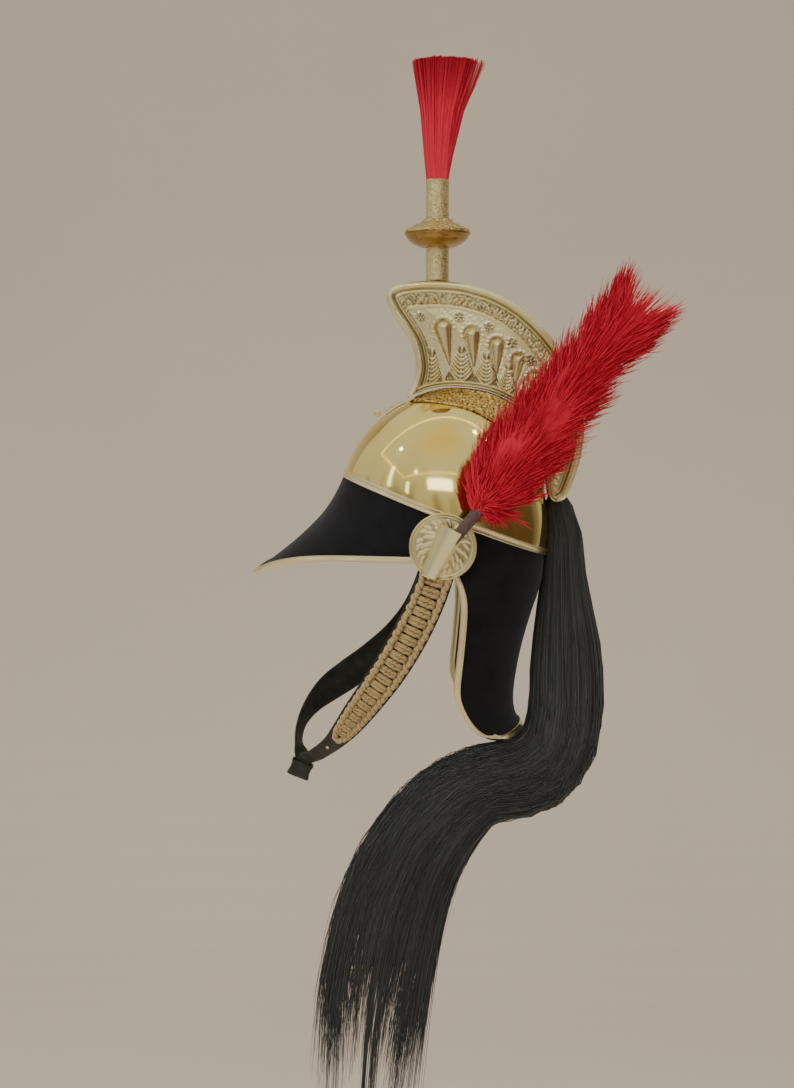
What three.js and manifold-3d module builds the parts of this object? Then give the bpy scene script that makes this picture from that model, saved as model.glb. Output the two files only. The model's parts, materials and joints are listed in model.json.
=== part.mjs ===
// Cuirassier helmet, in millimetres. +Z is up, the face looks along -Y, and +X is the wearer's left.
// The origin is the middle of the head opening, where a head carries the helmet.
import * as THREE from 'three'
import { mergeVertices } from 'three/addons/utils/BufferGeometryUtils.js'
import Module from 'manifold-3d'

const wasm = await Module()
wasm.setup()

// Bowl and its tilted oval rim
const RIM_TILT = THREE.MathUtils.degToRad(21.2)
const RIM_Y = 5.6
const RIM_Z = 39
const BOWL_HALF_LENGTH = 107.5
const BOWL_HALF_WIDTH = 88
const BOWL_HEIGHT = 117
const BOWL_FULLNESS = 1.77
const BOWL_LEAN = 0.133
const BOWL_WALL = 1.2
const RIM_SIDES = 38
const BOWL_RINGS = 7

// Leather parts
const LEATHER = 3
const PEAK_REACH = 188.5
const PEAK_HALF_WIDTH = 91
const PEAK_DIP = 21
const STRAP_THICK = 2
const LACE_THICK = 2.6
const LACE_MARGIN = 2.4
const LACE_HOLLOW = 0.62
const SLIDER = { width: 15.4, depth: 22, height: 15, slotWidth: 12.4, slotDepth: 19, tilt: 22 }
const SLIDER_SPOT = { x: 1, y: -140.5, z: -221.5 }

// Brass fittings
const TRIM_WALL = 0.9
const TRIM_DEPTH = 5
const TRIM_GAP = 0.6
const CREST_HALF_TOP = 11
const CREST_SPREAD = 5.5
const PLATE_THICK = 1.2
const BORDER_WIDTH = 8
const BORDER_RELIEF = 1.8
const BAND_RELIEF = 1.2
const BAND_NEAR = 12.5
const BAND_FAR = 22
const DROP_RELIEF = 0.8
const PALM_RELIEF = 2.4
const ROUNDEL = { top: 2.6, foot: 3.4, height: 2.6, sides: 6 }
const ROUNDEL_SHOW = 1.8
const CUT_FRONT = 20
const CUT_BACK = -1
const RIDGE_THICK = 2
const SKIRT_THICK = 1
const SKIRT_CROWN = 0.9
const SKIRT_CLEARANCE = 1.4
const TONGUE_THICK = 1.4
const NUT = { pinRadius: 1.5, pinLength: 4, ballRadius: 3.6, reach: 5 }
const ROSETTE_RADIUS = 32
const ROSETTE_BACK = 98
const ROSETTE_HUB = 15
const ROSETTE_STAND = 5.2
const TUBE_RADIUS = 11.5
const TUBE_WALL = 1.2
const TUBE_Y = -3.2
const TUBE_BOTTOM = 266.2
const TUBE_TOP = 364.8
const DISC_RADIUS = 32.5
const DISC_Z = 313.3
const STEM_RADIUS = 5.5
const STEM_TAPER = 0.6

// Meshes that touch keep this gap, and points closer than the weld distance are one
const GAP = 0.3
const WELD = 1e-4

const brass = { color: 0xd2b56c, roughness: 0.2, metalness: 1 }
const castBrass = { color: 0xb5a881, roughness: 0.35, metalness: 1 }
const velvet = { color: 0x1f1f1f, roughness: 1, metalness: 0 }
const leather = { color: 0x2a2a25, roughness: 0.6, metalness: 0 }
const goldCord = { color: 0x977a4a, roughness: 0.7, metalness: 0.2 }
const redHair = { color: 0xa11f2a, roughness: 0.8, metalness: 0 }
const blackHair = { color: 0x2b2c2e, roughness: 0.5, metalness: 0 }
const darkWood = { color: 0x57413d, roughness: 0.6, metalness: 0 }

const helmet = new THREE.Group()

const vec = (x, y, z) => new THREE.Vector3(x, y, z)

// Put a named mesh in the helmet
function place(name, geometry, finish, position = vec(0, 0, 0)) {
  const mesh = new THREE.Mesh(geometry, new THREE.MeshStandardMaterial(finish))
  mesh.name = name
  mesh.position.copy(position)
  helmet.add(mesh)
  return mesh
}

// Turn a list of points and triangles into a closed geometry whose faces point out
function solid(points, triangles) {
  let volume = 0
  for (const [a, b, c] of triangles) {
    volume += points[a].dot(points[b].clone().cross(points[c]))
  }
  const index = triangles.flatMap(([a, b, c]) => (volume < 0 ? [a, c, b] : [a, b, c]))
  const geometry = new THREE.BufferGeometry()
  const numbers = points.flatMap((p) => p.toArray())
  geometry.setAttribute('position', new THREE.Float32BufferAttribute(numbers, 3))
  geometry.setIndex(index)
  geometry.computeVertexNormals()
  return geometry
}

// Skin a row of loops. A loop of one point is a pole. Open ends get a fan, or a strip for thin loops.
function loft(loops, { ring = false, strip = false } = {}) {
  const points = []
  const starts = []
  for (const loop of loops) {
    starts.push(points.length)
    points.push(...loop)
  }
  const triangles = []
  const joinLoops = (i, j) => {
    const [a, b] = [starts[i], starts[j]]
    const [countA, countB] = [loops[i].length, loops[j].length]
    const count = Math.max(countA, countB)
    for (let k = 0; k < count; k += 1) {
      const next = (k + 1) % count
      if (countA > 1) triangles.push([a + k, a + next, b + (countB > 1 ? k : 0)])
      if (countB > 1) triangles.push([a + (countA > 1 ? next : 0), b + next, b + k])
    }
  }
  for (let i = 0; i + 1 < loops.length; i += 1) joinLoops(i, i + 1)
  if (ring) joinLoops(loops.length - 1, 0)
  const capEnd = (i, flip) => {
    const [loop, start] = [loops[i], starts[i]]
    if (loop.length === 1) return
    const add = (a, b, c) => triangles.push(flip ? [a, c, b] : [a, b, c])
    if (strip) {
      const last = loop.length - 1
      for (let k = 0; k < (loop.length - 2) / 2; k += 1) {
        add(start + k, start + last - k, start + k + 1)
        add(start + k + 1, start + last - k, start + last - k - 1)
      }
      return
    }
    const middle = points.length
    points.push(loop.reduce((sum, p) => sum.add(p), vec(0, 0, 0)).divideScalar(loop.length))
    for (let k = 0; k < loop.length; k += 1) add(start + (k + 1) % loop.length, start + k, middle)
  }
  if (!ring) {
    capEnd(0, false)
    capEnd(loops.length - 1, true)
  }
  return solid(points, triangles)
}

// Shift a grid of points along its own surface normal
function offsetGrid(grid, distance) {
  const within = (k, list) => THREE.MathUtils.clamp(k, 0, list.length - 1)
  const pick = (i, j) => grid[within(i, grid)][within(j, grid[0])]
  return grid.map((row, i) => row.map((point, j) => {
    const along = pick(i + 1, j).clone().sub(pick(i - 1, j))
    const across = pick(i, j + 1).clone().sub(pick(i, j - 1))
    return point.clone().addScaledVector(along.cross(across).normalize(), distance)
  }))
}

// A wall between an outer grid and an inner grid
function wall(outer, inner) {
  const loops = outer.map((row, i) => [...row, ...[...inner[i]].reverse()])
  return loft(loops, { strip: true })
}

function toManifold(geometry) {
  const bare = geometry.clone()
  bare.deleteAttribute('normal')
  bare.deleteAttribute('uv')
  const merged = mergeVertices(bare, WELD)
  const vertProperties = new Float32Array(merged.attributes.position.array)
  const triVerts = new Uint32Array(merged.index.array)
  return new wasm.Manifold(new wasm.Mesh({ numProp: 3, vertProperties, triVerts }))
}

function toGeometry(manifold) {
  const mesh = manifold.getMesh()
  const geometry = new THREE.BufferGeometry()
  geometry.setAttribute('position', new THREE.BufferAttribute(new Float32Array(mesh.vertProperties), 3))
  geometry.setIndex(new THREE.BufferAttribute(new Uint32Array(mesh.triVerts), 1))
  geometry.computeVertexNormals()
  return geometry
}

const closeUp = (geometry) => toGeometry(toManifold(geometry))
const fuse = (geometries) => geometries.map(toManifold).reduce((sum, next) => sum.add(next))

// A smooth value read from the rows of a table, with u from 0 to 1
function readTable(rows, u) {
  const names = Object.keys(rows[0])
  const spot = THREE.MathUtils.clamp(u, 0, 1) * (rows.length - 1)
  const i = Math.min(Math.floor(spot), rows.length - 2)
  const t = spot - i
  const at = (k) => rows[THREE.MathUtils.clamp(k, 0, rows.length - 1)]
  const result = {}
  for (const name of names) {
    const [a, b, c, d] = [at(i - 1)[name], at(i)[name], at(i + 1)[name], at(i + 2)[name]]
    result[name] = 0.5 * (2 * b + (c - a) * t + (2 * a - 5 * b + 4 * c - d) * t * t
      + (3 * b - 3 * c + d - a) * t * t * t)
  }
  return result
}

// A point of the bowl: turn goes from the front towards +X, rise from the rim (0) to the crown (1)
function bowlPoint(turn, rise, offset = 0) {
  const lift = Math.sin(rise * Math.PI / 2) ** (2 / BOWL_FULLNESS)
  const width = Math.cos(rise * Math.PI / 2) ** (2 / BOWL_FULLNESS)
  const height = (BOWL_HEIGHT + offset) * lift
  const forward = width * (BOWL_HALF_LENGTH + offset) * Math.cos(turn) + BOWL_LEAN * height
  const side = width * (BOWL_HALF_WIDTH + offset) * Math.sin(turn)
  return fromRim(side, forward, height)
}

// A point given in the tilted frame of the rim
function fromRim(side, forward, height) {
  const y = RIM_Y - forward * Math.cos(RIM_TILT) + height * Math.sin(RIM_TILT)
  const z = RIM_Z + forward * Math.sin(RIM_TILT) + height * Math.cos(RIM_TILT)
  return vec(side, y, z)
}

function rimPoint(turn, offset, height) {
  const side = (BOWL_HALF_WIDTH + offset) * Math.sin(turn)
  return fromRim(side, (BOWL_HALF_LENGTH + offset) * Math.cos(turn), height)
}

const turnOf = (k) => k * 2 * Math.PI / RIM_SIDES

function makeBowl() {
  const ringAt = (rise, offset) => (
    Array.from({ length: RIM_SIDES }, (_, k) => bowlPoint(turnOf(k), rise, offset)))
  const loops = [[bowlPoint(0, 1, 0)]]
  for (let i = BOWL_RINGS - 1; i >= 0; i -= 1) loops.push(ringAt(i / BOWL_RINGS, 0))
  for (let i = 0; i < BOWL_RINGS; i += 1) loops.push(ringAt(i / BOWL_RINGS, -BOWL_WALL))
  loops.push([bowlPoint(0, 1, -BOWL_WALL)])
  place('skull', loft(loops), brass)
}

function makeRimBand() {
  const section = [
    { offset: GAP, height: -4 }, { offset: 1.1, height: -4.3 }, { offset: 1.9, height: -0.6 },
    { offset: 1.5, height: 2.6 }, { offset: 0.9, height: 2.8 },
  ]
  const loops = Array.from({ length: RIM_SIDES }, (_, k) => (
    section.map(({ offset, height }) => rimPoint(turnOf(k), offset, height))))
  place('skull_rim_band', loft(loops, { ring: true }), brass)
}

// Peak: a skirt down the forehead that turns out into a brim. Turn runs from one ear to the other.
const PEAK_TURN = THREE.MathUtils.degToRad(89)
const PEAK_STEPS = 22
const PEAK_ROWS = [0, 0.16, 0.3, 0.42, 0.6, 0.8, 1]
const PEAK_CORNER = 0.37
const PEAK_PULL = 10.5
const PEAK_PULL_WAY = { x: -0.5, y: 0.72, z: -0.69 }
const PEAK_EDGE_Y = 3
const PEAK_EDGE_Z = -4
const PEAK_EDGE_RISE = 4
const PEAK_DIP_POWER = 6

// The edge is an ellipse that rises a little forward and dips at the very front
function peakEdge(turn) {
  const c = Math.max(0, Math.cos(turn))
  const z = PEAK_EDGE_Z + PEAK_EDGE_RISE * c - PEAK_DIP * c ** PEAK_DIP_POWER
  return vec(PEAK_HALF_WIDTH * Math.sin(turn), PEAK_EDGE_Y - PEAK_REACH * c, z)
}

function peakPoint(turn, t) {
  const top = rimPoint(turn, -GAP, -1)
  const point = top.lerp(peakEdge(turn), t)
  const bend = t < PEAK_CORNER ? t / PEAK_CORNER : (1 - t) / (1 - PEAK_CORNER)
  const pull = PEAK_PULL * Math.sin(bend * Math.PI / 2) * Math.cos(turn) ** 2
  const { x, y, z } = PEAK_PULL_WAY
  return point.add(vec(x * Math.sin(turn), y, z).multiplyScalar(pull))
}

function peakGrid() {
  const grid = []
  for (let i = 0; i <= PEAK_STEPS; i += 1) {
    const turn = PEAK_TURN * (2 * i / PEAK_STEPS - 1)
    grid.push(PEAK_ROWS.map((t) => peakPoint(turn, t)))
  }
  return grid
}

// A brass U section folded over the edge of a leather wall
function foldedTrim(edge, outward, normal, first, last) {
  const reach = (depth, side) => edge.slice(first, last).map((p, i) => (
    p.clone().addScaledVector(outward[first + i], depth).addScaledVector(normal[first + i], side)))
  const outside = TRIM_GAP + TRIM_WALL
  const profile = [
    [-TRIM_DEPTH, outside, TRIM_GAP], [0, outside, TRIM_GAP],
    [0, -LEATHER - outside, -LEATHER - TRIM_GAP], [-TRIM_DEPTH, -LEATHER - outside, -LEATHER - TRIM_GAP],
  ]
  const outer = profile.map(([depth, side], k) => reach(k % 3 === 0 ? depth : outside, side))
  const inner = profile.map(([depth, , side], k) => reach(k % 3 === 0 ? depth : TRIM_GAP, side))
  const across = (lines) => edge.slice(first, last).map((_, i) => lines.map((line) => line[i]))
  return wall(across(outer), across(inner))
}

// Directions along the rim of a wall: outward in the surface, and off the outer face
function edgeFrame(edge, inside, under) {
  const outward = edge.map((p, i) => p.clone().sub(inside[i]).normalize())
  const normal = edge.map((p, i) => p.clone().sub(under[i]).normalize())
  return { outward, normal }
}

function makePeak() {
  const outer = peakGrid()
  const inner = offsetGrid(outer, LEATHER)
  place('peak', wall(outer, inner), velvet)
  const last = PEAK_ROWS.length - 1
  const edge = outer.map((row) => row[last])
  const inside = outer.map((row) => row[last - 1])
  const { outward, normal } = edgeFrame(edge, inside, inner.map((row) => row[last]))
  place('peak_trim', foldedTrim(edge, outward, normal, 1, PEAK_STEPS), brass)
}

// Neck guard: the rows go from the rim to the flared foot
const GUARD_ROWS = [
  { frontY: 6.6, frontZ: 37.6, backY: 103.9, backZ: -1.8, halfWidth: 87 },
  { frontY: 7.6, frontZ: -4, backY: 102.3, backZ: -24, halfWidth: 86 },
  { frontY: 16.5, frontZ: -28, backY: 97.5, backZ: -43, halfWidth: 84.5 },
  { frontY: 19.6, frontZ: -46, backY: 92, backZ: -59, halfWidth: 82.5 },
  { frontY: 18.3, frontZ: -74, backY: 84, backZ: -86, halfWidth: 80 },
  { frontY: 15.4, frontZ: -104, backY: 78.5, backZ: -110, halfWidth: 77.5 },
  { frontY: 13.2, frontZ: -132, backY: 74.5, backZ: -136, halfWidth: 75 },
  { frontY: 18.6, frontZ: -150, backY: 74, backZ: -152, halfWidth: 73.5 },
  { frontY: 28.5, frontZ: -166, backY: 76.2, backZ: -163, halfWidth: 72.5 },
  { frontY: 40, frontZ: -175, backY: 79.5, backZ: -169.5, halfWidth: 72 },
  { frontY: 53, frontZ: -179, backY: 82.5, backZ: -174, halfWidth: 72 },
]
const GUARD_STEPS = 16

function guardPoint(row, turn) {
  const { frontY, frontZ, backY, backZ, halfWidth } = GUARD_ROWS[row]
  const c = Math.cos(turn)
  return vec(halfWidth * Math.sin(turn), frontY + (backY - frontY) * c, frontZ + (backZ - frontZ) * c)
}

function makeNeckGuard() {
  const outer = GUARD_ROWS.map((_, row) => (
    Array.from({ length: GUARD_STEPS + 1 }, (__, i) => guardPoint(row, Math.PI * (0.5 - i / GUARD_STEPS)))))
  const inner = offsetGrid(outer, -LEATHER)
  place('neck_guard', wall(outer, inner), velvet)
  const rows = GUARD_ROWS.length
  const round = (grid, inset) => {
    const line = []
    for (let i = 1; i < rows - 1; i += 1) line.push(grid[i][inset])
    for (let j = inset; j <= GUARD_STEPS - inset; j += 1) line.push(grid[rows - 1 - inset][j])
    for (let i = rows - 2; i > 0; i -= 1) line.push(grid[i][GUARD_STEPS - inset])
    return line
  }
  const edge = round(outer, 0)
  const inside = round(outer, 1)
  // The inset line is shorter at the two corners, so its ends repeat there
  inside.splice(rows - 2, 0, outer[rows - 2][1])
  inside.splice(inside.length - (rows - 2), 0, outer[rows - 2][GUARD_STEPS - 1])
  const { outward, normal } = edgeFrame(edge, inside, round(inner, 0))
  place('neck_guard_trim', foldedTrim(edge, outward, normal, 1, edge.length - 1), brass)
}

// Crest outline in the middle plane, as y and z
const CREST_FRONT = [
  { y: -33.5, z: 152.8 }, { y: -29, z: 160.5 }, { y: -25.2, z: 170 }, { y: -23.4, z: 184 },
  { y: -27.2, z: 203 }, { y: -37, z: 220 }, { y: -47, z: 235 }, { y: -52.7, z: 247.5 },
  { y: -51, z: 256.5 }, { y: -44, z: 261.6 }, { y: -33, z: 264 }, { y: -10.4, z: 265.5 },
  { y: 19.2, z: 263.6 }, { y: 48.8, z: 255.7 }, { y: 73.6, z: 243 }, { y: 94.5, z: 226 },
  { y: 110.5, z: 208.5 }, { y: 123.5, z: 190 }, { y: 133, z: 168 }, { y: 139.5, z: 145 },
  { y: 141.5, z: 124 }, { y: 140, z: 104 }, { y: 135.5, z: 82 }, { y: 126, z: 56 }, { y: 119.5, z: 50 },
]
const CREST_UNDER = [
  { y: 113.5, z: 49 }, { y: 108.5, z: 53 }, { y: 106, z: 66 }, { y: 105, z: 84 }, { y: 101, z: 104 },
  { y: 93.5, z: 124 }, { y: 80, z: 142 }, { y: 61.4, z: 153.5 }, { y: 40.7, z: 160.5 }, { y: 12.1, z: 163.3 },
  { y: -9, z: 161 }, { y: -26.3, z: 154.8 },
]

const flat = (rows) => rows.map(({ y, z }) => new THREE.Vector2(y, z))
const CREST_STEPS = 27
const outerLine = new THREE.SplineCurve(flat(CREST_FRONT)).getPoints(CREST_STEPS)

// Move each point of a flat line to its left by a distance
function besideLine(line, distance) {
  return line.map((p, i) => {
    const before = line[Math.max(i - 1, 0)]
    const after = line[Math.min(i + 1, line.length - 1)]
    const along = after.clone().sub(before).normalize()
    return new THREE.Vector2(p.x + along.y * distance, p.y - along.x * distance)
  })
}

// Stand a flat drawing up in the middle plane, with its thickness along X
const standUp = new THREE.Matrix4().makeBasis(vec(0, 1, 0), vec(0, 0, 1), vec(1, 0, 0))

function slab(points, thick) {
  const geometry = new THREE.ExtrudeGeometry(new THREE.Shape(points), { depth: thick, bevelEnabled: false })
  return geometry.applyMatrix4(standUp)
}

const DROP_BASE = 0.4
const DROP_SIDES = 5
const DROP_UNDERSIDE = -0.2
const DROP_RINGS = [{ share: 0.16, size: 0.95 }, { share: 0.6, size: 0.5 }]

// A raised drop on the crest, blunt at its head and sharp at its tip
function drop({ y, z, tipY, tipZ, radius }, height) {
  const head = vec(DROP_BASE, y, z)
  const tip = vec(DROP_BASE, tipY, tipZ)
  const along = tip.clone().sub(head)
  const across = vec(0, -along.z, along.y).normalize()
  const rings = DROP_RINGS.map(({ share, size }) => Array.from({ length: DROP_SIDES }, (_, k) => {
    const turn = (k + 0.25) * 2 * Math.PI / DROP_SIDES
    const point = head.clone().addScaledVector(along, share)
    point.addScaledVector(across, radius * size * Math.cos(turn))
    point.x += height * size * Math.max(DROP_UNDERSIDE, Math.sin(turn))
    return point
  }))
  return loft([[head], ...rings, [tip]])
}

const GADROONS = [
  { y: 3, z: 225, tipY: 9, tipZ: 187, radius: 9 }, { y: 32, z: 219, tipY: 33, tipZ: 185, radius: 8 },
  { y: 57, z: 207.5, tipY: 54.7, tipZ: 176, radius: 7 },
  { y: 78.5, z: 192, tipY: 72.7, tipZ: 166, radius: 6 },
  { y: 94, z: 174.5, tipY: 86, tipZ: 152, radius: 5.4 },
  { y: 107, z: 155, tipY: 97, tipZ: 136, radius: 5 },
  { y: 115.5, z: 133, tipY: 105.5, tipZ: 118, radius: 4.4 },
  { y: 120, z: 112, tipY: 111.5, tipZ: 98, radius: 4 },
]
const PALMS = [
  { y: -14, z: 162, tipY: -14, tipZ: 192, radius: 5 }, { y: 0, z: 167, tipY: -1, tipZ: 195, radius: 5 },
  { y: 20.2, z: 168, tipY: 20.1, tipZ: 197, radius: 5 },
  { y: 43.6, z: 165, tipY: 43.5, tipZ: 189, radius: 4.6 },
  { y: 63.4, z: 157.5, tipY: 65.2, tipZ: 179, radius: 4.2 },
  { y: 80, z: 147, tipY: 81.5, tipZ: 164, radius: 4 },
  { y: 95, z: 129, tipY: 97, tipZ: 146, radius: 3.6 },
  { y: 114, z: 60, tipY: 121, tipZ: 84, radius: 4.5 },
]
const ROUNDELS = [
  { y: -20, z: 228 }, { y: 17.6, z: 229 }, { y: 46, z: 219 }, { y: 69.5, z: 205.5 }, { y: 88, z: 189 },
  { y: 103, z: 169 }, { y: 114, z: 146 },
]

// The bare plate as rows of points from the outer line to the line along its foot
function plateGrid(x) {
  const foot = new THREE.SplineCurve(flat(CREST_UNDER)).getPoints(outerLine.length - 1).reverse()
  return outerLine.map((p, i) => [0, 0.5, 1].map((t) => {
    const q = p.clone().lerp(foot[i], t)
    return vec(x, q.x, q.y)
  }))
}

// The laurel band runs over these points of the outer line
const BAND_FIRST = 12
const BAND_LAST = 24

function crestRelief() {
  const border = [...outerLine, ...besideLine(outerLine, BORDER_WIDTH).reverse()]
  const band = besideLine(outerLine, BAND_NEAR).slice(BAND_FIRST, BAND_LAST)
  const bandInner = besideLine(outerLine, BAND_FAR).slice(BAND_FIRST, BAND_LAST)
  const roundel = ({ y, z }) => {
    const geometry = new THREE.CylinderGeometry(ROUNDEL.top, ROUNDEL.foot, ROUNDEL.height, ROUNDEL.sides)
    return geometry.rotateZ(-Math.PI / 2).translate(PLATE_THICK + ROUNDEL_SHOW - ROUNDEL.height / 2, y, z)
  }
  const relief = fuse([
    wall(plateGrid(PLATE_THICK), plateGrid(0)),
    slab(border, PLATE_THICK + BORDER_RELIEF),
    slab([...band, ...bandInner.reverse()], PLATE_THICK + BAND_RELIEF),
    ...GADROONS.map((row) => drop(row, DROP_RELIEF + row.radius / 2)),
    ...PALMS.map((row) => drop(row, PALM_RELIEF)),
    ...ROUNDELS.map(roundel),
  ])
  const inOutline = toManifold(wall(plateGrid(CUT_FRONT), plateGrid(CUT_BACK)))
  return toGeometry(relief.intersect(inOutline))
}

const SPREAD_DEPTH = 90

// How far the plates have parted at a point of the crest, by its depth below the outer line
function insideOfPlate(y, z) {
  const point = new THREE.Vector2(y, z)
  const depth = Math.min(...outerLine.map((p) => p.distanceTo(point)))
  return CREST_HALF_TOP + CREST_SPREAD * Math.min(1, depth / SPREAD_DEPTH)
}

function makeCrestPlate(name, side) {
  const geometry = crestRelief()
  const position = geometry.attributes.position
  for (let i = 0; i < position.count; i += 1) {
    const inside = insideOfPlate(position.getY(i), position.getZ(i))
    position.setX(i, side * (position.getX(i) + inside))
  }
  if (side < 0) {
    const index = geometry.index.array
    for (let i = 0; i < index.length; i += 3) {
      [index[i + 1], index[i + 2]] = [index[i + 2], index[i + 1]]
    }
  }
  geometry.computeVertexNormals()
  place(name, geometry, castBrass)
}

// The closing strip between the two plates, round the front, top and rear of the crest
function makeCrestRidge() {
  const ridgeHalf = CREST_HALF_TOP - GAP
  const line = besideLine(outerLine, GAP)
  const strip = [...line, ...besideLine(outerLine, RIDGE_THICK).reverse()]
  const geometry = slab(strip, 2 * ridgeHalf)
  geometry.translate(-ridgeHalf, 0, 0)
  place('crest_ridge', toGeometry(toManifold(geometry)), castBrass)
}

// Flared skirts between the crest and the bowl
const SKIRT_ROWS = [
  { y: -25, z: 152.4, spread: 21 }, { y: -9, z: 158.4, spread: 31 }, { y: 12, z: 161.6, spread: 37 },
  { y: 41, z: 158.8, spread: 38 }, { y: 61, z: 151.8, spread: 37 }, { y: 79, z: 140.5, spread: 34 },
  { y: 92, z: 123, spread: 30 }, { y: 99.4, z: 104, spread: 27 }, { y: 103.4, z: 84, spread: 24 },
]
const SKIRT_STEPS = 14
const SKIRT_SHARES = [0, 0.34, 0.68, 1]
const SKIRT_LEAD = 2
const SKIRT_TUCK = 0.5
const RISE_STEP = 0.002
const HALVINGS = 40

// The bowl's surface at a given x and y, found by halving the rise towards that y
function bowlBeside(x, y, offset) {
  let low = 0
  let high = 1
  const turnFor = (rise) => {
    const width = Math.cos(rise * Math.PI / 2) ** (2 / BOWL_FULLNESS) * (BOWL_HALF_WIDTH + offset)
    return width > x ? Math.asin(x / width) : NaN
  }
  const rear = (rise) => bowlPoint(Math.PI - turnFor(rise), rise, offset)
  const front = (rise) => bowlPoint(turnFor(rise), rise, offset)
  while (Number.isNaN(turnFor(high))) high -= RISE_STEP
  const side = front(high).y > y ? front : rear
  for (let k = 0; k < HALVINGS; k += 1) {
    const middle = (low + high) / 2
    const isOutside = side === front ? side(middle).y < y : side(middle).y > y
    if (isOutside) low = middle
    else high = middle
  }
  return side(low)
}

function makeCrestSkirt(name, side) {
  const lift = vec(1, 0, 1).normalize()
  const grid = Array.from({ length: SKIRT_STEPS + 1 }, (_, i) => {
    const { y, z, spread } = readTable(SKIRT_ROWS, i / SKIRT_STEPS)
    const top = vec(insideOfPlate(y, z) - SKIRT_TUCK, y, z)
    const foot = bowlBeside(spread, y - SKIRT_LEAD, SKIRT_CLEARANCE)
    return SKIRT_SHARES.map((t) => (
      top.clone().lerp(foot, t).addScaledVector(lift, SKIRT_CROWN * Math.sin(Math.PI * t))))
  })
  const mirror = (rows) => rows.map((row) => row.map((p) => vec(side * p.x, p.y, p.z)))
  place(name, wall(mirror(grid), mirror(offsetGrid(grid, -SKIRT_THICK))), castBrass)
}

// A strip of brass from the foot of the crest down the front of the bowl, with a ball nut below it
const TONGUE_HALF = 7
const TONGUE_LINE = [
  { y: -36, z: 150.2 }, { y: -41, z: 147.6 }, { y: -47, z: 144.2 }, { y: -52, z: 141 },
  { y: -56.4, z: 137.6 },
]
const TONGUE_STEPS = 8
const NUT_LEAN = Math.PI / 2 + 0.66
const NUT_SPOT = { x: 0, y: -59.4, z: 132.6 }

function makeTongue() {
  const line = new THREE.SplineCurve(flat(TONGUE_LINE)).getPoints(TONGUE_STEPS)
  const strip = slab([...line, ...besideLine(line, -TONGUE_THICK).reverse()], 2 * TONGUE_HALF)
  strip.translate(-TONGUE_HALF, 0, 0)
  place('crest_tongue', closeUp(strip), castBrass)
  const pin = new THREE.CylinderGeometry(NUT.pinRadius, NUT.pinRadius, NUT.pinLength, 8)
  pin.translate(0, NUT.reach / 2, 0)
  const ball = new THREE.SphereGeometry(NUT.ballRadius, 8, 6)
  ball.translate(0, NUT.reach, 0)
  const nut = toGeometry(fuse([pin, ball])).rotateX(NUT_LEAN)
  place('tongue_nut', nut, castBrass, vec(NUT_SPOT.x, NUT_SPOT.y, NUT_SPOT.z))
}

// Turn a closed profile of radius and height round the vertical axis
function lathe(profile, sides) {
  const line = [...profile, profile[0]].map(({ radius, height }) => new THREE.Vector2(radius, height))
  return closeUp(new THREE.LatheGeometry(line, sides).rotateX(Math.PI / 2))
}

const LATHE_SIDES = 16
const DISC_PROFILE = [
  { radius: TUBE_RADIUS + GAP, height: -14.5 }, { radius: 18, height: -13 }, { radius: 27, height: -7.5 },
  { radius: DISC_RADIUS, height: -0.5 }, { radius: 31, height: 3.4 }, { radius: 20, height: 8.2 },
  { radius: 14, height: 10.5 }, { radius: 13.6, height: 13.4 }, { radius: TUBE_RADIUS + GAP, height: 13.6 },
]

function makePlumeTube() {
  const inside = TUBE_RADIUS - TUBE_WALL
  const top = TUBE_TOP - TUBE_BOTTOM
  const profile = [
    { radius: inside, height: 0 }, { radius: TUBE_RADIUS, height: 0 },
    { radius: TUBE_RADIUS, height: top }, { radius: inside, height: top },
  ]
  place('plume_tube', lathe(profile, LATHE_SIDES), brass, vec(0, TUBE_Y, TUBE_BOTTOM))
}

function makePlumeDisc() {
  place('plume_disc', lathe(DISC_PROFILE, LATHE_SIDES), brass, vec(0, TUBE_Y, DISC_Z))
}

// Brush: hair that stands in the tube and fans out, with a notched top
const BRUSH_ROWS = [
  { lean: 0, z: 352, across: 9.6, along: 9.6 }, { lean: 0, z: 364.8, across: 9.8, along: 9.8 },
  { lean: 0.6, z: 378, across: 11.4, along: 12 }, { lean: 2, z: 410, across: 14, along: 15 },
  { lean: 4, z: 445, across: 17.5, along: 20 }, { lean: 5.5, z: 470, across: 20, along: 24 },
]

const BRUSH_SIDES = 14
const BRUSH_FLUTE = 0.09
const BRUSH_TOP = { lean: 6.5, across: 19, along: 25 }
const BRUSH_PEAKS = { high: 483, low: 473, highSize: 0.92, lowSize: 0.62 }

function makeBrush() {
  const step = 2 * Math.PI / BRUSH_SIDES
  const ring = (point) => Array.from({ length: BRUSH_SIDES }, (_, k) => point(k * step, k % 2))
  const loops = BRUSH_ROWS.map(({ lean, z, across, along }, row) => ring((turn, odd) => {
    const size = row > 1 && odd ? 1 - BRUSH_FLUTE : 1
    return vec(across * size * Math.cos(turn), TUBE_Y + lean + along * size * Math.sin(turn), z)
  }))
  const { high, low, highSize, lowSize } = BRUSH_PEAKS
  const { lean, across, along } = BRUSH_TOP
  loops.push(ring((turn, odd) => {
    const size = odd ? lowSize : highSize
    const y = TUBE_Y + lean + along * size * Math.sin(turn)
    return vec(across * size * Math.cos(turn), y, odd ? low : high)
  }))
  loops.push([vec(0, TUBE_Y + lean, high - 1)])
  place('crest_brush', loft(loops), redHair)
}

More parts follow.
